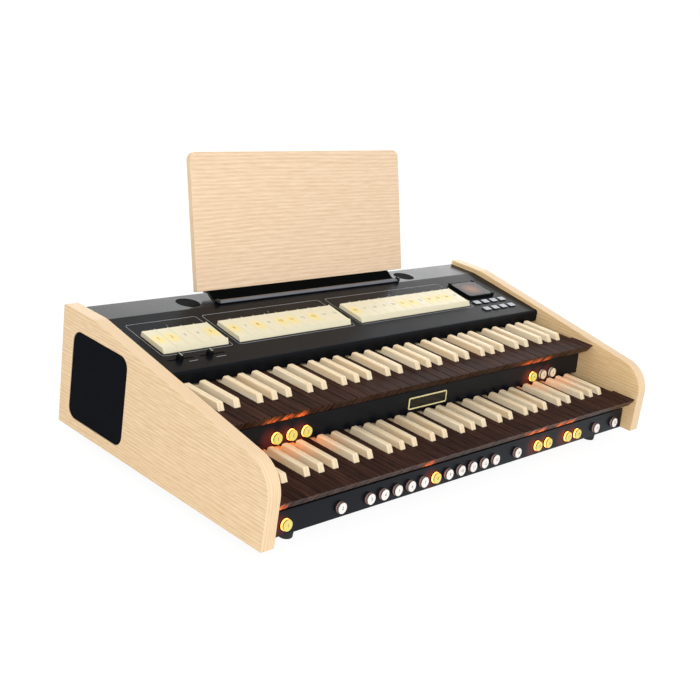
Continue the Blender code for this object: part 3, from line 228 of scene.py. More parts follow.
# %% [markdown]
# The dark metal and plastic parts differ in their skin, not in their colour. Powder coat has a fine orange
# peel, lacquered board a flatter one, moulded plastic the grain of its mould. One function gives a coloured
# surface with a relief of bumps of a given size; each call says how big the bumps are and how shiny the skin.

# %% Coats and mouldings
def coated(name, colour, roughness, bump_mm, relief_mm, metallic=0.0, ior=None, mottle=0.12, specular=0.5):
    """Even colour with a bumpy skin: bumps this wide and this high, and a slight change of shade."""
    material, tree, shader, place = start_finish(name, colour, roughness, metallic, ior)
    shader.inputs["Specular IOR Level"].default_value = specular
    skin = add(tree, "ShaderNodeTexNoise", {"Vector": place, "Scale": 1000 / bump_mm, "Detail": 2.0})
    cloud = add(tree, "ShaderNodeTexNoise", {"Vector": place, "Scale": 22.0, "Detail": 2.0})
    shade = add(tree, "ShaderNodeMapRange", {"Value": cloud.outputs["Fac"], "To Min": 1 - mottle,
                                             "To Max": 1 + mottle})
    hsv = add(tree, "ShaderNodeHueSaturation", {"Color": linear(colour), "Value": shade.outputs[0]})
    tree.links.new(hsv.outputs[0], shader.inputs["Base Color"])
    dull = add(tree, "ShaderNodeMapRange", {"Value": cloud.outputs["Fac"], "To Min": roughness - 0.05,
                                            "To Max": roughness + 0.05})
    tree.links.new(dull.outputs[0], shader.inputs["Roughness"])
    bump = add(tree, "ShaderNodeBump", {"Height": skin.outputs["Fac"], "Distance": relief_mm / 1000})
    tree.links.new(bump.outputs[0], shader.inputs["Normal"])
    return material


# Powder coat over folded steel: grains of 0.3 mm, drawn 0.9 mm, give a soft sheen without a clear mirror.
powder_coat = coated("black_powder_coat_on_steel", "#0f1115", 0.24, 0.9, 0.010, ior=1.5,
                     specular=0.05)
# Sprayed and polished board: almost flat, so it mirrors more clearly.
lacquer = coated("black_lacquered_board_painted_halo", "#0a0f17", 0.30, 2.5, 0.01, ior=1.5,
                 specular=0.14)
laminate = coated("black_melamine_board", "#0c0c0d", 0.6, 1.2, 0.02, ior=1.5, specular=0.05)
# Moulded ABS with a spark-eroded mould grain of about 0.4 mm, drawn 0.8 mm.
black_abs = coated("black_moulded_abs", "#08090a", 0.42, 0.8, 0.02, ior=1.54, specular=0.1)
gloss_abs = coated("black_gloss_abs", "#08090a", 0.22, 3.0, 0.005, ior=1.54, specular=0.3)
grey_abs = coated("pale_grey_moulded_abs", "#b4b8be", 0.45, 0.8, 0.01, ior=1.54, mottle=0.04)
cream_abs = coated("cream_moulded_abs", "#eee5c6", 0.4, 2.0, 0.008, ior=1.54, mottle=0.02)
rubber = coated("black_nitrile_rubber", "#141414", 0.75, 1.0, 0.03, ior=1.52)
# Anodised aluminium: an oxide skin, dyed black, over a fine extruded surface. It is a metal to the shader.
anodised = coated("dark_anodised_aluminium", "#75787f", 0.30, 1.5, 0.006, metallic=1.0)
# The trough is lined with ribbed black rubber, so that music doesn't slide; it swallows the light.
lining = coated("black_ribbed_rubber", "#040505", 0.8, 1.0, 0.03, specular=0.02)
matt_abs = coated("black_matt_abs", "#060707", 0.7, 0.8, 0.02, specular=0.02)
# Nickel is a metal too; its colour is that of its mirror image. The gilding is a paint with brass flakes.
gilt = coated("brass_flake_paint", "#fff0b4", 0.45, 0.6, 0.01, ior=1.5)
nickel = coated("nickel_plated_brass", "#cfcabd", 0.22, 1.0, 0.003, metallic=1.0)
ink = coated("pale_screen_print_ink", "#a0a2a7", 0.5, 0.6, 0.004, ior=1.5)
white_ink = coated("white_screen_print_ink", "#e8e8e4", 0.5, 0.6, 0.004, ior=1.5)
tab_ink = coated("grey_tab_ink", "#8b8690", 0.5, 0.6, 0.003, ior=1.5)
lit_ink = coated("brown_ink_over_light", "#93691f", 0.5, 0.6, 0.003, ior=1.5)
maroon_ink = coated("maroon_piston_ink", "#56302e", 0.5, 0.6, 0.003, ior=1.5)
print(len(bpy.data.materials), "materials so far")

# %% [markdown]
# Lit parts are frosted plastic with a small amber lamp behind. The cap of a lit piston glows a soft yellow. Its
# skirt lies next to the lamp and is many times brighter than white paper, so the eye sees it pale. That real
# strength is written, but the true orange of the slip and key fronts round it is painted on them further down.

# %% Lit and unlit plastics
def frosted(name, colour, roughness, light=(0, 0, 0), strength=0.0):
    """Translucent moulded acrylic, optionally with a lamp behind it."""
    material = coated(name, colour, roughness, 1.5, 0.004, ior=1.49, mottle=0.03)
    shader = material.node_tree.nodes["Principled BSDF"]
    shader.inputs["Emission Color"].default_value = (*light, 1)
    shader.inputs["Emission Strength"].default_value = strength
    return material


AMBER = (1.0, 0.21, 0.02)
piston_white = frosted("frosted_white_acrylic", "#fdf8f2", 0.35)
piston_pale = frosted("frosted_acrylic_pale_light", "#efe0c4", 0.35, (1.0, 0.8, 0.45), 0.1)
piston_lit = frosted("frosted_acrylic_yellow_light", "#8f8556", 0.35, (1.0, 0.83, 0.16), 0.6)
skirt_plain = frosted("clouded_acrylic", "#b48f89", 0.35)
skirt_lit = frosted("clouded_acrylic_amber_light", "#cdb4ae", 0.35, AMBER, 8.0)
# The neck's deep maroon is red plastic darkened to paint the shade in the piston's groove.
neck_red_painted_shade = coated("maroon_acrylic_neck_painted_shade", "#2a0d0d", 0.4, 1.5, 0.004, ior=1.49)


def lit_tab_plastic(name, middle, size):
    """Cream ABS whose lamp shows as a soft warm patch about a point of the tab, in millimetres."""
    material = coated(name, "#eee5c6", 0.4, 2.0, 0.008, ior=1.54, mottle=0.02)
    tree = material.node_tree
    shader = tree.nodes["Principled BSDF"]
    place = tree.nodes["Texture Coordinate"].outputs["Object"]
    scale = [1000 / width for width in size]
    shift = [-m / width for m, width in zip(middle, size)]
    local = add(tree, "ShaderNodeMapping", {"Vector": place, "Scale": scale, "Location": shift})
    away = add(tree, "ShaderNodeVectorMath", {0: local.outputs[0]}, operation="LENGTH")
    patch = add(tree, "ShaderNodeMapRange", {"Value": away.outputs["Value"], "From Min": 1.0,
                                             "From Max": 0.15}, interpolation_type="SMOOTHSTEP")
    warm = add(tree, "ShaderNodeMix", {0: patch.outputs[0], 6: linear("#000000"), 7: (0.045, 0.028, 0.0, 1)},
               data_type="RGBA")
    tree.links.new(warm.outputs[2], shader.inputs["Emission Color"])
    shader.inputs["Emission Strength"].default_value = 1.0
    base = shader.inputs["Base Color"].links[0].from_socket
    tint = add(tree, "ShaderNodeMix", {0: patch.outputs[0], 6: base, 7: linear("#f3df92")}, data_type="RGBA")
    tree.links.new(tint.outputs[2], shader.inputs["Base Color"])
    return material


cream_lit = lit_tab_plastic("cream_moulded_abs_lit", (0, -21, 11), (17, 19, 40))
print("lit finishes:", piston_lit.name, cream_lit.name)

# %% [markdown]
# ## Shapes
# Every shape below is drawn in millimetres in a flat sketch and then stood in its place. An outline is a list
# of corners, each with its own radius; a prism is that outline given a thickness, with holes if it has any;
# soft edges come from a small bevel, because no real edge is perfectly sharp and the bevel is what glints.

# %% Outline, prism, edges
SIDE = Matrix.Rotation(pi / 2, 4, "Z") @ Matrix.Rotation(pi / 2, 4, "X")    # sketch (y, z), thickness along X
FRONT = Matrix.Rotation(pi / 2, 4, "X")                                     # sketch (x, z), thickness to -Y
MILLIMETRES = Matrix.Scale(0.001, 4)


def rounded(corners, steps=8):
    """Points through corners (x, y, radius), each turned into an arc."""
    points = []
    for i, (x, y, radius) in enumerate(corners):
        here = Vector((x, y))
        if not radius:
            points.append(here)
            continue
        before = (Vector(corners[i - 1][:2]) - here).normalized()
        after = (Vector(corners[(i + 1) % len(corners)][:2]) - here).normalized()
        half = before.angle(after) / 2
        centre = here + (before + after).normalized() * radius / sin(half)
        start = here + before * radius / tan(half) - centre
        stop = here + after * radius / tan(half) - centre
        first = atan2(start.y, start.x)
        turn = (atan2(stop.y, stop.x) - first + pi) % (2 * pi) - pi
        points += [centre + radius * Vector((cos(first + turn * k / steps), sin(first + turn * k / steps)))
                   for k in range(steps + 1)]
    return points


def rectangle(width, height, radius=0.0, x=0.0, y=0.0, steps=8):
    w, h = width / 2, height / 2
    corners = [(x - w, y - h), (x + w, y - h), (x + w, y + h), (x - w, y + h)]
    return rounded([(*corner, radius) for corner in corners], steps)


def circle(radius, x=0.0, y=0.0, sides=40):
    return [(x + radius * cos(2 * pi * k / sides), y + radius * sin(2 * pi * k / sides)) for k in range(sides)]


def prism(outline, low, high, holes=()):
    """Outline with holes, filled and given a thickness from low to high."""
    bm = bmesh.new()
    for loop in (outline, *holes):
        verts = [bm.verts.new((p[0], p[1], low)) for p in loop]
        for pair in zip(verts, verts[1:] + verts[:1]):
            bm.edges.new(pair)
    if holes:
        bmesh.ops.triangle_fill(bm, edges=bm.edges[:], use_beauty=True)
    else:
        bm.faces.new(bm.verts)
    raised = bmesh.ops.extrude_face_region(bm, geom=bm.faces[:])["geom"]
    bmesh.ops.translate(bm, verts=[v for v in raised if isinstance(v, bmesh.types.BMVert)],
                        vec=(0, 0, high - low))
    bmesh.ops.recalc_face_normals(bm, faces=bm.faces)
    return bm


def soften(bm, width, steps=2, pick=lambda edge: True):
    """Rounds the sharp edges that pick accepts."""
    edges = [e for e in bm.edges if len(e.link_faces) == 2 and e.calc_face_angle() > radians(25) and pick(e)]
    bmesh.ops.bevel(bm, geom=edges, offset=width, segments=steps, profile=0.5, affect="EDGES")
    return bm


def level(edge, z):
    """Whether an edge lies at a height."""
    return all(abs(v.co.z - z) < 0.001 for v in edge.verts)


def turned(profile, sides=40):
    """Profile of (radius, height) points, turned about its own Z as on a lathe."""
    bm = bmesh.new()
    verts = [bm.verts.new((radius, 0, height)) for radius, height in profile]
    edges = [bm.edges.new(pair) for pair in zip(verts, verts[1:])]
    bmesh.ops.spin(bm, geom=verts + edges, cent=(0, 0, 0), axis=(0, 0, 1), angle=2 * pi, steps=sides)
    bmesh.ops.remove_doubles(bm, verts=bm.verts, dist=0.002)
    bmesh.ops.recalc_face_normals(bm, faces=bm.faces)
    return bm


def gathered(parts):
    """One mesh of several."""
    bm = bmesh.new()
    for part in parts:
        mesh = bpy.data.meshes.new("part")
        part.to_mesh(mesh)
        part.free()
        bm.from_mesh(mesh)
        bpy.data.meshes.remove(mesh)
    return bm


print("a rounded square has", len(rectangle(10, 10, 2)), "points")

# %% [markdown]
# A finished sketch becomes an object in one of two ways. A wooden piece keeps its points in the organ's own
# coordinates, so the grain runs on from piece to piece and no two keys look alike. A plastic piece that is
# moulded many times keeps one mesh and stands in many places.

# %% Place, ride, replace
def mesh_of(name, bm, *materials, pick=None, smooth=50):
    """Mesh with smooth shading; pick says which material a face gets."""
    mesh = bpy.data.meshes.new(name)
    if pick:
        for face in bm.faces:
            face.material_index = pick(face)
    bm.to_mesh(mesh)
    bm.free()
    for material in materials:
        mesh.materials.append(material)
    mesh.shade_smooth()
    mesh.set_sharp_from_angle(angle=radians(smooth))
    return mesh


def stand(name, mesh, where, body, stands_for=()):
    """Object with its own origin, placed by a frame in millimetres."""
    obj = bpy.data.objects.new(name, mesh)
    obj.matrix_world = MILLIMETRES @ where @ MILLIMETRES.inverted()
    bpy.context.scene.collection.objects.link(obj)
    if obj.type == "MESH":
        obj.modifiers.new("even shading", "WEIGHTED_NORMAL").keep_sharp = True
    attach(obj, body)
    if stands_for:
        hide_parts(*stands_for)
    return obj


def build(name, bm, materials, where, body, stands_for=(), pick=None, smooth=50):
    """Object whose points lie in the organ's coordinates; pick chooses between several materials."""
    bm.transform(MILLIMETRES @ where)
    bm.normal_update()
    if not isinstance(materials, tuple):
        materials = (materials,)
    return stand(name, mesh_of(name, bm, *materials, pick=pick, smooth=smooth), Matrix(), body, stands_for)


def own_scale(bm):
    """Millimetres to metres, for a mesh that stands in many places."""
    bm.transform(MILLIMETRES)
    return bm


def at(x, y, z, lean=0.0):
    """Frame at a place in millimetres, leaning about X by some degrees."""
    return Matrix.Translation((x, y, z)) @ Matrix.Rotation(radians(lean), 4, "X")


def moved(x, y=0.0, z=0.0):
    return Matrix.Translation((x, y, z))


PANEL = at(0, 147.153, 182.8, 8.18)          # at the fold between slope and level strip, y up the slope
UPPER_SLIP = at(0, -115.559, 80.5, -6)
LOWER_SLIP = at(0, -225.064, 18.9, -6)
BOARD = at(9.3, 177.453, 195.3, -16.4)
REAR = at(0, 187.666, 18.9, -4.82)
LOWER_KEYS = at(0, -196.859, 77.3)           # y from the front of the sharps, z from the naturals' top
UPPER_KEYS = at(0, -92.496, 139.46)
print("the upper manual stands", 104.4, "mm back and", 62.2, "mm up from the lower one")

# %% [markdown]
# ## Case
# A cheek is a 22 mm board, veneered on its faces and banded on its edges. It is a side view given a thickness,
# with the opening of the loudspeaker cut through. Faces that look sideways get veneer, the others the band. On
# the inside the veneer is a warmer, deeper copy, which paints the warm light thrown back on it.

# %% Cheeks
HALF = 426.16         # middle of the organ to the inner face of a cheek
THICK = 22.2
cheek_side = rounded([(188.67, 18.9, 2), (203.15, 190.7, 2.5), (133.15, 190.7, 3), (-241.26, 126.26, 50),
                      (-245.86, 18.9, 2)], 14)


def speaker_opening(grow):
    return rounded([(44.42 - grow, 34.9 - grow, 16 + grow), (168.42 + grow, 34.9 - grow, 16 + grow),
                    (175.02 + grow, 162.9 + grow, 16 + grow), (51.02 - grow, 162.9 + grow, 16 + grow)])


for sign, name in ((-1, "left"), (1, "right")):
    low, high = sorted((sign * HALF, sign * (HALF + THICK)))
    bm = soften(prism(cheek_side, low, high, [speaker_opening(0.3)]), 0.8)
    build(f"cheek_{name}_veneered", bm, (cheek_veneer, veneer_painted_warm_light, cheek_band), SIDE, "case",
          [f"cheek_{name}"],
          pick=lambda face: 2 if abs(face.normal.x) < 0.8 else int(face.normal.x * sign < 0))
print("cheek outline:", len(cheek_side), "points")

# %% [markdown]
# Loudspeaker cloth is an open black weave, pulled tight over a board and stapled behind it. The cloth is one
# thin skin that turns down over the board's edge. Threads of about 0.5 mm would vanish at this distance, so
# they are drawn 1.4 mm apart: two waves, one per direction, raise the surface where threads cross, and the low
# places between them are painted darker, as shade.

# %% Speaker cloth
cloth, tree, shader, place = start_finish("black_woven_speaker_cloth", "#0c0e11", 0.9)
split = add(tree, "ShaderNodeSeparateXYZ", {"Vector": place})
threads = []
for axis in ("Y", "Z"):
    turns = add(tree, "ShaderNodeMath", {0: split.outputs[axis], 1: 2 * pi / 0.0014}, operation="MULTIPLY")
    threads.append(add(tree, "ShaderNodeMath", {0: turns.outputs[0]}, operation="SINE"))
weave = add(tree, "ShaderNodeMath", {0: threads[0].outputs[0], 1: threads[1].outputs[0]}, operation="MULTIPLY")
height = add(tree, "ShaderNodeMapRange", {"Value": weave.outputs[0], "From Min": -1.0})
tint = add(tree, "ShaderNodeMix", {0: height.outputs[0], 6: linear("#08090c"), 7: linear("#14171d")},
           data_type="RGBA")
tree.links.new(tint.outputs[2], shader.inputs["Base Color"])
bump = add(tree, "ShaderNodeBump", {"Height": height.outputs[0], "Distance": 0.0002})
tree.links.new(bump.outputs[0], shader.inputs["Normal"])
shader.inputs["Specular IOR Level"].default_value = 0.04
shader.inputs["Sheen Weight"].default_value = 0.005

for sign, name in ((-1, "left"), (1, "right")):
    low, high = sorted((sign * (HALF + 0.3), sign * (HALF + THICK - 1.6)))
    board = build(f"grille_{name}_board", prism(speaker_opening(-0.9), low, high), laminate, SIDE, "case")
    bm = bmesh.new()
    rings = [(-0.2, 4.0), (-0.2, 2.0), (-0.45, 1.3), (-1.1, 0.85), (-2.2, 0.7)]
    loops = [[bm.verts.new((p[0], p[1], sign * (HALF + THICK - depth))) for p in speaker_opening(grow)]
             for grow, depth in rings]
    for outer, inner in zip(loops, loops[1:]):
        for k in range(len(outer)):
            bm.faces.new((outer[k - 1], outer[k], inner[k], inner[k - 1]))
    bm.faces.new(loops[-1])
    bmesh.ops.recalc_face_normals(bm, faces=bm.faces)
    area = sum(face.calc_area() for face in bm.faces) / 1e6
    skin = build(f"speaker_cloth_{name}", bm, cloth, SIDE, "case", [f"grille_{name}"])
print("cloth area:", round(area * 1e4, 1), "square centimetres on each side")

# %% [markdown]
# The base board, the rear panel and the inlet stay as they are packed and only get their finish. The feet are
# turned rubber with a dished sole.

# %% Base, rear panel, feet
def dress(node, material):
    """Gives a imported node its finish."""
    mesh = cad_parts[node].data
    mesh.materials.clear()
    mesh.materials.append(material)


dress("base_board", laminate)
dress("rear_panel", powder_coat)
dress("power_inlet", black_abs)
foot_mesh = mesh_of("foot", own_scale(turned([(0, 18.5), (11, 18.5), (11, 17.2), (10.6, 16.6), (10.3, 6),
                                              (10.1, 1.5), (9.4, 0.4), (8.6, 0.1), (7.2, 0.1), (6.4, 1.2),
                                              (0, 1.2)], 32)), rubber)
for node in sorted(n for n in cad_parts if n.startswith("foot_")):
    low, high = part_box(node)
    middle = [(a + b) * 500 for a, b in zip(low, high)]
    stand(node + "_turned", foot_mesh, moved(middle[0], middle[1]), "case", [node])
print("feet:", foot_mesh.users)

# %% [markdown]
# The inlet's three flat pins are nickel-plated sleeves, each a small soft-edged block.

# %% Inlet pins
for number, (x, y) in enumerate(((-7, -2), (7, -2), (0, 2)), 1):
    bm = soften(prism(rectangle(2.15, 4.15, 0.4, x, y, 3), -18.1, -8.1), 0.4)
    where = REAR @ moved(330, 0, 40) @ Matrix.Rotation(-pi / 2, 4, "X")
    build(f"inlet_pin_{number}", bm, nickel, where, "case")
print("pins reach", round((REAR @ moved(330, 0, 40)).translation.y, 1), "mm behind the middle")

# %% [markdown]
# ## Keys
# Each manual has 36 naturals, 23.5 mm apart, and 25 sharps. A sharp stands a little off the line between its
# two naturals, in the pattern that keeps the gaps between sharps even. A natural is a stick cut away on the
# sides where sharps run, with a thicker head whose front slants back underneath the player's fingertip.

# %% Key measures
PITCH = 23.5
HALF_GAP = 0.65
SHIFTS = {1: -0.1, 2: 0.1, 4: -1 / 7, 5: 0.0, 6: 1 / 7}
NOTES = "cdefgab"


def sharp_x(line):
    """Middle of the sharp over a line between naturals, from the middle of the manual."""
    return (line - 18 + SHIFTS[line % 7]) * PITCH


def natural(index):
    """Head and stick of a natural."""
    left, right = (index - 18) * PITCH + HALF_GAP, (index - 17) * PITCH - HALF_GAP
    notch_left = sharp_x(index) + 6.4 if index % 7 in SHIFTS else left
    notch_right = sharp_x(index + 1) - 6.4 if (index + 1) % 7 in SHIFTS else right
    parts = []
    for front, low, high in ((-45, -14, 0), (-12, -18, -14)):
        outline = [(left, front), (right, front), (right, -1), (notch_right, -1), (notch_right, 170),
                   (notch_left, 170), (notch_left, -1), (left, -1)]
        kept = [p for i, p in enumerate(outline) if p != outline[i - 1]]
        bm = prism(kept, low, high)
        if high == 0:
            for vert in bm.verts:
                if vert.co.y < front + 0.001 and vert.co.z < low + 0.001:
                    vert.co.y += 9.5
            soften(bm, 1.3, 3, lambda e: level(e, 0) and all(v.co.y < front + 0.001 for v in e.verts))
            soften(bm, 0.7, 2, lambda e: level(e, 0))
        parts.append(bm)
    return gathered(parts)


def sharp(line):
    """Sharp: a bar with round shoulders, its ends cut slanted, on a square stick that runs to the pivot."""
    x = sharp_x(line)
    bar = prism(rounded([(x - 5.4, -1.5, 0), (x + 5.4, -1.5, 0), (x + 5.4, 10, 2.4), (x - 5.4, 10, 2.4)], 4),
                -76.2, 0)
    bar.transform(FRONT)
    for y, normal in ((0, (0, -11.2, 6)), (76.2, (0, 11.2, 2))):
        bmesh.ops.bisect_plane(bar, geom=bar.verts[:] + bar.edges[:] + bar.faces[:], plane_co=(x, y, -1.2),
                               plane_no=normal, clear_outer=True)
        bmesh.ops.holes_fill(bar, edges=[e for e in bar.edges if e.is_boundary])
    soften(bar, 0.9, 3, lambda e: max(v.co.z for v in e.verts) > 0 and (
        max(v.co.y for v in e.verts) < 6.1 or min(v.co.y for v in e.verts) > 74))
    stick = prism([(170, -18), (0.3, -18), (0.3, -1.4), (170, -1.4)], x - 5.4, x + 5.4)
    stick.transform(SIDE)
    return gathered([bar, stick])


print("naturals and sharps per manual:", 36, sum(1 for line in range(1, 36) if line % 7 in SHIFTS))

# %% [markdown]
# No two naturals come from the same place in the plank, so shade and grain begin anew at each line between
# two of them. That is what lets the eye count the keys, with the dark gap.

# %% A plank of its own for each natural
def key_by_key(material, least, most):
    """Shifts the grain and changes the shade from natural to natural."""
    tree = material.node_tree
    shader = tree.nodes["Principled BSDF"]
    place = tree.nodes["Texture Coordinate"].outputs["Object"]
    across = add(tree, "ShaderNodeSeparateXYZ", {0: place})
    count = add(tree, "ShaderNodeMath", {0: across.outputs[0], 1: PITCH / 1000}, operation="DIVIDE")
    whole = add(tree, "ShaderNodeMath", {0: count.outputs[0]}, operation="FLOOR")
    plank = add(tree, "ShaderNodeTexWhiteNoise", {"W": whole.outputs[0]}, noise_dimensions="1D")
    begin = add(tree, "ShaderNodeVectorMath", {0: place, 1: plank.outputs["Color"]}, operation="ADD")
    tree.links.new(begin.outputs[0], tree.nodes["Mapping"].inputs["Vector"])
    shade = add(tree, "ShaderNodeMapRange", {"Value": plank.outputs["Value"], "To Min": least, "To Max": most})
    tint = add(tree, "ShaderNodeMix", {0: 1.0, 6: shader.inputs["Base Color"].links[0].from_socket,
                                       7: shade.outputs[0]}, data_type="RGBA", blend_type="MULTIPLY")
    tree.links.new(tint.outputs[2], shader.inputs["Base Color"])


key_by_key(wenge, 0.75, 1.2)
key_by_key(wenge_front_painted_light, 0.72, 1.12)
print("shades vary on:", wenge.name, wenge_front_painted_light.name)

# %% [markdown]
# The front faces of the naturals get the lighter front finish, with its painted sheen and a painted glow of
# the pistons below; a face counts as lip if it looks forward. The keys of the third octave move, each on its
# own body. The others rest on the case.

# %% Two manuals
def lip_face(face):
    return int(face.normal.y < -0.5)


def manual(name, where):
    for index in range(36):
        moving = 14 <= index < 21
        node = f"key_{name}_{NOTES[index % 7]}"
        label = f"{node}_natural" if moving else f"natural_{name}_{index + 1:02d}"
        build(label, natural(index), (wenge, wenge_front_painted_light), where, node + "_body" if moving else "case",
              [node] if moving else [], lip_face)
    for line in (line for line in range(1, 36) if line % 7 in SHIFTS):
        moving = 14 < line < 21
        node = f"key_{name}_{NOTES[line % 7 - 1]}_sharp"
        label = f"{node}_raised" if moving else f"sharp_{name}_{line:02d}"
        build(label, sharp(line), maple_keys_painted_glow, where, node + "_body" if moving else "case",
              [node] if moving else [])


manual("lower", LOWER_KEYS)
manual("upper", UPPER_KEYS)

# %% [markdown]
# Under the keys lies a black keybed: a front rail that stops a pressed key, a floor, and at the back the ridge
# on which the keys tip. Only its edges show, between the keys and the slips.

# %% Keybeds
for name, where, base in (("lower", LOWER_KEYS, -48.1), ("upper", UPPER_KEYS, -34.5)):
    side = [(-10, base), (-10, -27.1), (0, -27.1), (0, -31), (161, -31), (161, -18.3), (169, -18.3),
            (169, -31), (178, -31), (178, base)]
    if name == "lower":
        side += [(168, base), (168, -34.5), (0, -34.5), (0, base)]
    build(f"keybed_{name}_frame", prism(side, -425.8, 425.8), laminate, where @ SIDE, "case",
          [f"keybed_{name}"])
print("keybeds are", 2 * 425.8, "mm wide")

# %% [markdown]
# ## Slips and pistons
# The slip is the leaning black board under the front of each manual. It has a row of round holes, and in each
# a piston that the player's thumb presses. The hole's rim is a thin ring.

# %% Slips
UPPER_PISTONS = [-316.4, -287.9, -259.4, 284.0, 312.5, 341.0]
LOWER_PISTONS = [-389.5] + [-3.7 + 28.5 * k for k in (-10, -8, -7, -6, -5, -4, -3, -2, -1, 0, 1, 2, 4, 6,
                                                      7, 9, 10, 12, 14)]
for name, where, height, rise, row in (("upper", UPPER_SLIP, 34.75, 12.7, UPPER_PISTONS),
                                       ("lower", LOWER_SLIP, 34.19, 14.8, LOWER_PISTONS)):
    outline = [(-425.8, 0), (425.8, 0), (425.8, height), (-425.8, height)]
    bm = prism(outline, -2.5, 0, [circle(8.3, x, rise) for x in row])
    soften(bm, 0.5, 2, lambda e: all(abs(abs(v.co.y - height / 2) - height / 2) < 0.001 for v in e.verts))
    build(f"slip_{name}_board", bm, lacquer, where @ FRONT, "case", [f"slip_{name}"])
print("pistons:", len(UPPER_PISTONS), "and", len(LOWER_PISTONS))

# %% [markdown]
# A piston is a lathe profile: a frosted cap, a narrow neck of red plastic darkened to paint the shade in its
# groove, and an amber skirt that runs into the slip.
# The cap is white until its lamp is on. Which ones are lit follows the registration that is set.

# %% Pistons
RING = mesh_of("piston_ring", own_scale(turned([(8.35, 0.0), (8.35, 0.9), (8.5, 1.0), (9.0, 1.0), (9.2, 0.8),
                                                (9.2, 0.0), (8.35, 0.0)])), gloss_abs)
PROFILE = [(0, 6.2), (7.0, 6.2), (7.6, 6.0), (7.8, 5.6), (7.8, 4.9), (7.6, 4.6), (6.6, 4.5), (6.6, 3.2),
           (7.7, 3.1), (8.0, 2.8), (8.0, -2.8), (9.3, -2.8), (9.3, -4.3), (0, -4.3)]


def cap_or_neck(face):
    height = face.calc_center_median().z * 1000
    return 0 if height > 4.52 else 1 if height > 3.14 else 2


def piston_mesh(name, cap, skirt):
    return mesh_of(name, own_scale(turned(PROFILE)), cap, neck_red_painted_shade, skirt, pick=cap_or_neck)


PISTONS = {"lit": piston_mesh("piston_lit", piston_lit, skirt_lit),
           "pale": piston_mesh("piston_pale", piston_pale, piston_pale),
           "off": piston_mesh("piston_off", piston_white, skirt_plain)}


def numeral(name, text, size_mm, where, body, material):
    """Printed number, centred on its place."""
    curve = bpy.data.curves.new(name, "FONT")
    curve.body = text
    curve.size = size_mm / 1000
    curve.align_x = "CENTER"
    curve.align_y = "CENTER"
    curve.extrude = 0.00002
    curve.materials.append(material)
    return stand(name, curve, where, body)


states = {"upper": ["lit", "lit", "lit", "lit", "pale", "pale"],
          "lower": ["lit" if k in (0, 7, 14, 15, 16, 17) else "off" for k in range(20)]}
for name, where, rise, row in (("upper", UPPER_SLIP, 12.7, UPPER_PISTONS),
                               ("lower", LOWER_SLIP, 14.8, LOWER_PISTONS)):
    for number, (x, state) in enumerate(zip(row, states[name]), 1):
        moving = name == "upper" and number <= 3
        spot = where @ moved(x, 0, rise) @ FRONT
        body = f"piston_{number}_body" if moving else "case"
        stand(f"piston_{name}_{number:02d}", PISTONS[state], spot, body, [f"piston_{number}"] if moving else [])
        numeral(f"piston_number_{name}_{number:02d}", str(number), 7, spot @ moved(0, 0, 6.21), body,
                lit_ink if state == "lit" else maroon_ink)
        stand(f"ring_{name}_{number:02d}", RING, spot, "case")
print("lit:", sum(row.count("lit") for row in states.values()))

# %% [markdown]
# A lit piston also lights what lies round it: the board beside it turns dull red, the key fronts over it orange,
# and the pale sharps behind it peach. This is painted: each of these finishes glows with its own colour times a
# pool of light about every lit piston, which falls off within a few centimetres. On the board the pool is a
# painted reflection of the piston, on the key fronts painted light and painted reflection, so both stand a
# little left of their pistons; on the sharps it is painted light.

# %% Painted lamplight round the pistons
def lamplight(material, spots, reach, light):
    """Paints the light of lamps at some places (x, y, z in millimetres) onto a finish, as a glow in its own
    colour.
    """
    tree = material.node_tree
    shader = tree.nodes["Principled BSDF"]
    place = tree.nodes["Texture Coordinate"].outputs["Object"]
    pool = 0.0
    for spot in spots:
        away = add(tree, "ShaderNodeVectorMath", {0: place, 1: [c / 1000 for c in spot]}, operation="DISTANCE")
        near = add(tree, "ShaderNodeMapRange", {"Value": away.outputs["Value"], "From Min": reach / 1000,
                                                "From Max": reach / 5000}, interpolation_type="SMOOTHERSTEP")
        pool = add(tree, "ShaderNodeMath", {0: near.outputs[0], 1: pool}, operation="MAXIMUM").outputs[0]
    fallen = add(tree, "ShaderNodeMix", {0: pool, 6: linear("#000000"), 7: (*light, 1)}, data_type="RGBA")
    back = add(tree, "ShaderNodeMix", {0: 1.0, 6: shader.inputs["Base Color"].links[0].from_socket,
                                       7: fallen.outputs[2]}, data_type="RGBA", blend_type="MULTIPLY")
    tree.links.new(back.outputs[2], shader.inputs["Emission Color"])
    shader.inputs["Emission Strength"].default_value = 1.0


upper_lit = [x for x, state in zip(UPPER_PISTONS, states["upper"]) if state != "off"]
lower_lit = [x for x, state in zip(LOWER_PISTONS, states["lower"]) if state != "off"]
# Painted reflections on the board, painted light and reflections on the key fronts, painted light on the sharps.
lamplight(lacquer, [(x - 12, -119, 93) for x in upper_lit] + [(x - 12, -228, 33) for x in lower_lit], 24,
          (26, 2.0, 0.8))
lamplight(wenge_front_painted_light, [(0.97 * x - 39, -128, 128) for x in upper_lit]
          + [(0.97 * x - 38, -232, 66) for x in lower_lit], 17, (12, 4.0, 1.2))
lamplight(maple_keys_painted_glow, [(x + 6, -118, 88) for x in upper_lit], 60, (0.24, 0.06, 0.0))
print("lit pistons:", len(upper_lit), "and", len(lower_lit))

# %% [markdown]
# The nameplate is left bare: a black field in a narrow gilt frame with rounded corners.

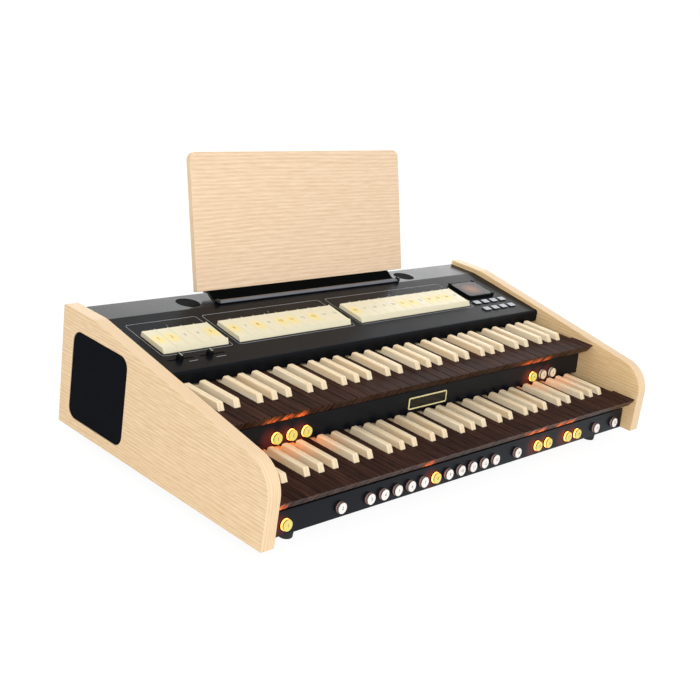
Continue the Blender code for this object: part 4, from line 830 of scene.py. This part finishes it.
# %% Nameplate
spot = UPPER_SLIP @ moved(4.8, 0, 15.5) @ FRONT
plate = build("nameplate_field", soften(prism(rectangle(88.6, 16.6, 2.1), 0.3, 1.1), 0.2), gloss_abs, spot,
              "case", ["nameplate"])
rim = prism(rectangle(91, 19, 3.1), 0.3, 1.5, [rectangle(86.8, 14.8, 1.5)])
build("nameplate_frame", soften(rim, 0.2), gilt, spot, "case")
print("nameplate:", 91, "by", 19, "mm")

# %% [markdown]
# ## Panel
# One steel sheet is folded twice: a short flange in front, the slope with all the controls, and a level strip
# behind. It starts as an open line of the side view with a small radius at each fold, is drawn out along X,
# and gets its thickness from Solidify. The openings are cut with one Boolean.

# %% Folded sheet
def open_line(points, steps=5):
    """Line through corners (y, z, radius) whose ends stay open."""
    line = rounded([(*p[:2], p[2]) for p in points], steps)
    return [tuple(p) for p in line]


side_line = open_line([(-9.65, 141.3, 0), (-8.65, 160.4, 5), (147.15, 182.8, 4), (201.49, 182.8, 0)])
bm = bmesh.new()
left = [bm.verts.new((-425.8, y, z)) for y, z in side_line]
edges = [bm.edges.new(pair) for pair in zip(left, left[1:])]
swept = bmesh.ops.extrude_edge_only(bm, edges=edges)["geom"]
bmesh.ops.translate(bm, verts=[v for v in swept if isinstance(v, bmesh.types.BMVert)], vec=(851.6, 0, 0))
bmesh.ops.recalc_face_normals(bm, faces=bm.faces)
if sum(face.normal.z for face in bm.faces) < 0:
    bmesh.ops.reverse_faces(bm, faces=bm.faces)
sheet = build("folded_panel", bm, powder_coat, Matrix(), "case", ["top_panel"], smooth=40)
sheet.modifiers.clear()
thick = sheet.modifiers.new("sheet", "SOLIDIFY")
thick.thickness, thick.offset, thick.use_even_offset = 0.0015, -1, True
print("side view:", len(side_line), "points")

# %% [markdown]
# The cutters are flat outlines that follow the controls: a window for each bank of tabs, two slots, the
# display's opening, eight button holes, two round holes for the caps and two for the pegs of the music rest.

# %% Openings in the sheet
BANKS = [(-396.0, 5), (-257.0, 10), (3.0, 12)]
BANK_REAR, BANK_FRONT = -52.5, -107.0
SLOTS = [(-381.0, -1.8), (-325.0, -4.3)]
SLOT_Y = -125.5
DISPLAY = (344.75, -59.5)
BUTTONS = [(310.5 + 24.2 * column, -126.3 + 23.7 * row) for row in range(2) for column in range(4)]
cutters = []
for left, count in BANKS:
    middle = left + count * PITCH / 2
    cutters.append(prism(rectangle(count * PITCH + 0.6, 55.7, 0, middle, (BANK_REAR + BANK_FRONT) / 2), -3, 2))
for x, _ in SLOTS:
    cutters.append(prism(rectangle(46, 2.5, 1.24, x, SLOT_Y, 4), -3, 2))
cutters.append(prism(rectangle(70.1, 51.6, 0, *DISPLAY), -3, 2))
for x, y in BUTTONS:
    cutters.append(prism(rectangle(17.2, 12.2, 2.4, x, y, 4), -3, 2))
for part in cutters:
    part.transform(PANEL)
for sign in (-1, 1):
    for x, y, radius in ((250, 171.55, 18.8), (190.2, 160.15, 3.35)):
        cutter = prism(circle(radius), -3, 2)
        cutter.transform(moved(sign * x, y, 182.8))
        cutters.append(cutter)
bm = own_scale(gathered(cutters))
cutter = bpy.data.objects.new("cutter", mesh_of("cutter", bm))
bpy.context.scene.collection.objects.link(cutter)
cut = sheet.modifiers.new("openings", "BOOLEAN")
cut.operation, cut.object = "DIFFERENCE", cutter
bpy.context.view_layer.update()
cut_mesh = bpy.data.meshes.new_from_object(sheet.evaluated_get(bpy.context.evaluated_depsgraph_get()))
sheet.modifiers.clear()
sheet.data = cut_mesh
bpy.data.objects.remove(cutter)
cut_mesh.shade_smooth()
cut_mesh.set_sharp_from_angle(angle=radians(30))
sheet.modifiers.new("even shading", "WEIGHTED_NORMAL").keep_sharp = True
print("cut sheet:", len(cut_mesh.polygons), "faces, openings:", len(cutters))

# %% [markdown]
# Each bank of tabs is framed by a thin printed line with rounded corners. The line is a flat ring of ink, a
# few hundredths of a millimetre thick, with a plain number in its upper margin. Each slider has a short line.

# %% Printed frames
for number, (left, count) in enumerate(BANKS, 1):
    width = count * PITCH + 11
    x, y = left + count * PITCH / 2, -(22 + 112.5) / 2
    outer = rectangle(width, 90.5, 5.5, x, y)
    inner = rectangle(width - 1.5, 89.0, 4.7, x, y)
    build(f"printed_frame_{number}", prism(outer, 0.02, 0.06, [inner]), ink, PANEL, "case")
    numeral(f"bank_number_{number}", str(number), 6, PANEL @ moved(x, -37, 0.05), "case", ink)
for number, (low, high) in enumerate(((-372.7, -356.7), (-323.9, -305.4)), 1):
    bar = prism(rectangle(high - low, 1.0, 0.5, (low + high) / 2, -134, 3), 0.02, 0.06)
    build(f"slider_scale_{number}", bar, ink, PANEL, "case")
print("frames:", len(BANKS))

# %% [markdown]
# ## Tabs
# A rocker tab is a moulded key of cream plastic, pivoted near its rear edge. The player tips its front down.
# One sketch of the side, rounded along its upper edges, serves for all twenty-seven. A lit tab shows a warm
# patch where its lamp sits. Real tabs carry the name of a sound, and here they have plain numbers.

# %% Rocker tabs
tab_side = [(5.5, 0), (5.5, 11.5), (-44, 11.5), (-49, 5), (-49, 0)]


def tab_mesh(name, material):
    bm = prism(tab_side, -11.45, 11.45)
    bm.transform(SIDE)
    soften(bm, 0.9, 3, lambda e: max(v.co.z for v in e.verts) > 11)
    return mesh_of(name, own_scale(bm), material)


TABS = {True: tab_mesh("tab_lit", cream_lit), False: tab_mesh("tab_plain", cream_abs)}
LIT = [{1, 2, 5}, {1, 3, 5, 6, 8}, {1, 6, 7, 9, 10, 11}]
count_all = 0
for bank, (left, count) in enumerate(BANKS):
    for k in range(1, count + 1):
        count_all += 1
        body = f"tab_{k}_body" if bank == 0 else "case"
        spot = PANEL @ moved(left + (k - 0.5) * PITCH, BANK_REAR - 5.5, -5)
        tab = stand(f"tab_{bank + 1}_{k:02d}", TABS[k in LIT[bank]], spot, body,
                    [f"tab_{k}"] if bank == 0 else [])
        numeral(f"tab_number_{count_all:02d}", str(count_all), 9, spot @ moved(0, -19, 11.51), body,
                lit_ink if k in LIT[bank] else tab_ink)
print("tabs:", count_all)

# %% [markdown]
# The tabs tip on a rail behind the panel. It shows only from inside, and stays a plain moulding with a ridge.

# %% Tab rail
side = [(-107, -9.02), (-107, -12.02), (-52.5, -12.02), (-52.5, -9.02), (-55.5, -9.02), (-55.5, -5.3),
        (-60.5, -5.3), (-60.5, -9.02)]
build("tab_rail_moulding", prism(side, -406, 295), black_abs, PANEL @ SIDE, "case", ["tab_rail"])
print("rail:", 701, "mm long")

# %% [markdown]
# ## Small controls
# The two sliders are black knobs with a white line across, on a stem that runs in a slot.

# %% Sliders
for number, (x, shift) in enumerate(SLOTS, 1):
    knob = soften(prism(rectangle(7, 10, 1.0, 0, 0, 3), 0.3, 8), 1.0, 3, lambda e: level(e, 8))
    for vert in knob.verts:
        if vert.co.z > 4:
            vert.co.x *= 0.84
            vert.co.y *= 0.88
    stem = prism(rectangle(3, 1.9, 0.9, 0, 0, 4), -4, 0.5)
    mesh = mesh_of(f"slider_{number}", own_scale(gathered([knob, stem])), gloss_abs)
    spot = PANEL @ moved(x + shift, SLOT_Y)
    stand(f"slider_{number}_knob", mesh, spot, f"slider_{number}_body", [f"slider_{number}"])
    line = prism(rectangle(1.0, 7.6), 7.95, 8.05)
    stand(f"slider_{number}_line", mesh_of(f"line_{number}", own_scale(line), white_ink), spot,
          f"slider_{number}_body")
print("sliders:", len(SLOTS))

# %% [markdown]
# The display is a raised block of black plastic, and a smoked pane covers nearly all of its top. Digits glow red
# somewhere below; through the smoked plastic only a soft warm patch gets out. Four clips hold the corners.

# %% Display
bezel = prism(rectangle(72.5, 54, 1.5), 0.3, 5.0, [rectangle(67.1, 48.6, 0.6)])
soften(bezel, 0.4, 2, lambda e: level(e, 5.0))
tray = prism(rectangle(69.5, 51), -4.5, 2.4)
clips = [soften(prism(rectangle(7, 4.5, 0.8, sx * 32.75, sy * 24.75, 3), 4.7, 5.8), 0.4, 2,
                lambda e: level(e, 5.8)) for sx in (-1, 1) for sy in (-1, 1)]
spot = PANEL @ moved(*DISPLAY)
block = mesh_of("display_block", own_scale(gathered([bezel, tray] + clips)), black_abs)
stand("display_block", block, spot, "case", ["display_bezel"])

smoked, tree, shader, place = start_finish("smoked_acrylic_pane", "#2e2624", 0.25, ior=1.49)
shader.inputs["Specular IOR Level"].default_value = 0.14
ripple = add(tree, "ShaderNodeTexNoise", {"Vector": place, "Scale": 60.0, "Detail": 1.0})
bump = add(tree, "ShaderNodeBump", {"Height": ripple.outputs["Fac"], "Distance": 0.00002})
tree.links.new(bump.outputs[0], shader.inputs["Normal"])
local = add(tree, "ShaderNodeMapping", {"Vector": place, "Scale": (1000 / 30, 1000 / 22, 0),
                                        "Location": (3.0 / 30, 2.3 / 22, 0)})
away = add(tree, "ShaderNodeVectorMath", {0: local.outputs[0]}, operation="LENGTH")
glow = add(tree, "ShaderNodeMapRange", {"Value": away.outputs["Value"], "From Min": 1.0, "From Max": 0.1},
           interpolation_type="SMOOTHSTEP")
red = add(tree, "ShaderNodeMix", {0: glow.outputs[0], 6: linear("#000000"), 7: (0.22, 0.085, 0.03, 1)},
          data_type="RGBA")
tree.links.new(red.outputs[2], shader.inputs["Emission Color"])
shader.inputs["Emission Strength"].default_value = 1.0
pane = mesh_of("smoked_pane", own_scale(soften(prism(rectangle(66.5, 48, 0.5), 2.7, 4.6), 0.3)), smoked)
stand("display_pane", pane, spot, "case", ["display_window"])
print("display block: 72.5 by 54 mm")

# %% [markdown]
# The eight buttons have a pale grey top and black sides, which paint the shade on their sides. They stand in
# two rows, each in its own hole. Two of them move on bodies of their own.

# %% Buttons
cap = soften(prism(rectangle(16, 11, 2.0, 0, 0, 5), -1.5, 2.0), 0.5, 3, lambda e: level(e, 2.0))
flange = prism(rectangle(18.4, 13.4, 1.0, 0, 0, 3), -3.0, -1.8)
# Faces lower than 1.6 mm, the button's sides, get black plastic, which paints the shade on them.
button_painted_shade_mesh = mesh_of("button", own_scale(gathered([cap, flange])), grey_abs, black_abs,
                      pick=lambda face: int(face.calc_center_median().z < 0.0016))
for k, (x, y) in enumerate(BUTTONS):
    number = {1: 1, 5: 2}.get(k)
    stand(f"button_cap_{k + 1}", button_painted_shade_mesh, PANEL @ moved(x, y), f"button_{number}_body" if number else "case",
          [f"button_{number}"] if number else [])
print("buttons:", len(BUTTONS))

# %% [markdown]
# Two round caps close lamp sockets in the strip. Each is a lathe profile with a soft rim and a dished middle.

# %% Round caps
cap_mesh = mesh_of("round_cap", own_scale(turned([(0, 0.1), (15.5, 0.15), (16.6, 0.38), (17.9, 0.38),
                                                  (18.4, 0.1), (18.5, -2.6), (0, -2.6)], 64)), matt_abs)
for sign, name in ((-1, "left"), (1, "right")):
    stand(f"cap_{name}", cap_mesh, moved(sign * 250, 171.55, 182.8), "case", [f"disc_{name}"])
print("caps stand", 0.38, "mm proud")

# %% [markdown]
# ## Music rest
# The ledge is an aluminium extrusion: one side view drawn out along the whole length, with a round lip that
# keeps the music from sliding off, a trough, and a shelf under the board. Plastic caps close its ends, and a
# round plug closes the hollow lip.

# %% Ledge
ledge_side = rounded([(1.5, 0.3, 0), (7.5, 0.3, 0.4), (17.5, 1.4, 1), (30.5, 9.4, 3), (38.9, 6.9, 0),
                      (38.9, 9.5, 0), (29.8, 12.2, 0.6), (17.5, 4.0, 2), (8.7, 3.0, 0.8), (7.3, 5.4, 0.9),
                      (5.0, 6.1, 1.6), (1.0, 5.3, 2.2), (0, 2.0, 1.0)], 4)
ledge_at = moved(0, 147.653, 182.8)
build("ledge_extrusion", prism(ledge_side, -207.6, 207.6), (anodised, lining), ledge_at @ SIDE,
      "music_rest", ["music_ledge"], pick=lambda face: int(face.calc_center_median().y > 0.1561), smooth=30)
for sign, name in ((-1, "left"), (1, "right")):
    low, high = sorted((sign * 207.6, sign * 209.2))
    build(f"ledge_end_{name}", soften(prism(ledge_side, low, high), 0.3, 1), gloss_abs, ledge_at @ SIDE,
          "music_rest")
    plug = turned([(0, 2.6), (3.8, 2.6), (4.8, 1.6), (4.8, -1.8), (4.2, -2.4), (0, -2.4)], 24)
    build(f"ledge_plug_{name}", plug, gloss_abs,
          ledge_at @ moved(sign * 208.6, 3.9, 3.6) @ Matrix.Rotation(sign * pi / 2, 4, "Y"), "music_rest")
    peg = turned([(0, 1.5), (3, 1.5), (3, -7.2), (2.2, -8), (0, -8)], 24)
    build(f"ledge_peg_{name}", peg, nickel, moved(sign * 190.2, 160.15, 182.8), "music_rest")
print("ledge profile:", len(ledge_side), "points")

# %% [markdown]
# The board that music leans on is veneered like the cheeks, with its grain across the organ. Its upper
# corners are rounded, and the same pale band runs round its edge.

# %% Music board
outline = rounded([(-238, 0, 0), (238, 0, 0), (238, 210, 13), (-238, 210, 13)], 10)
bm = soften(prism(outline, -9.5, 0), 1.0, 3)
front = BOARD.to_3x3() @ Vector((0, -1, 0))
build("music_board_veneered", bm, (board_veneer, board_band), BOARD @ FRONT, "music_rest", ["music_desk"],
      pick=lambda face: int(abs(face.normal.dot(front)) < 0.9))
print("board leans back", 16.4, "degrees")
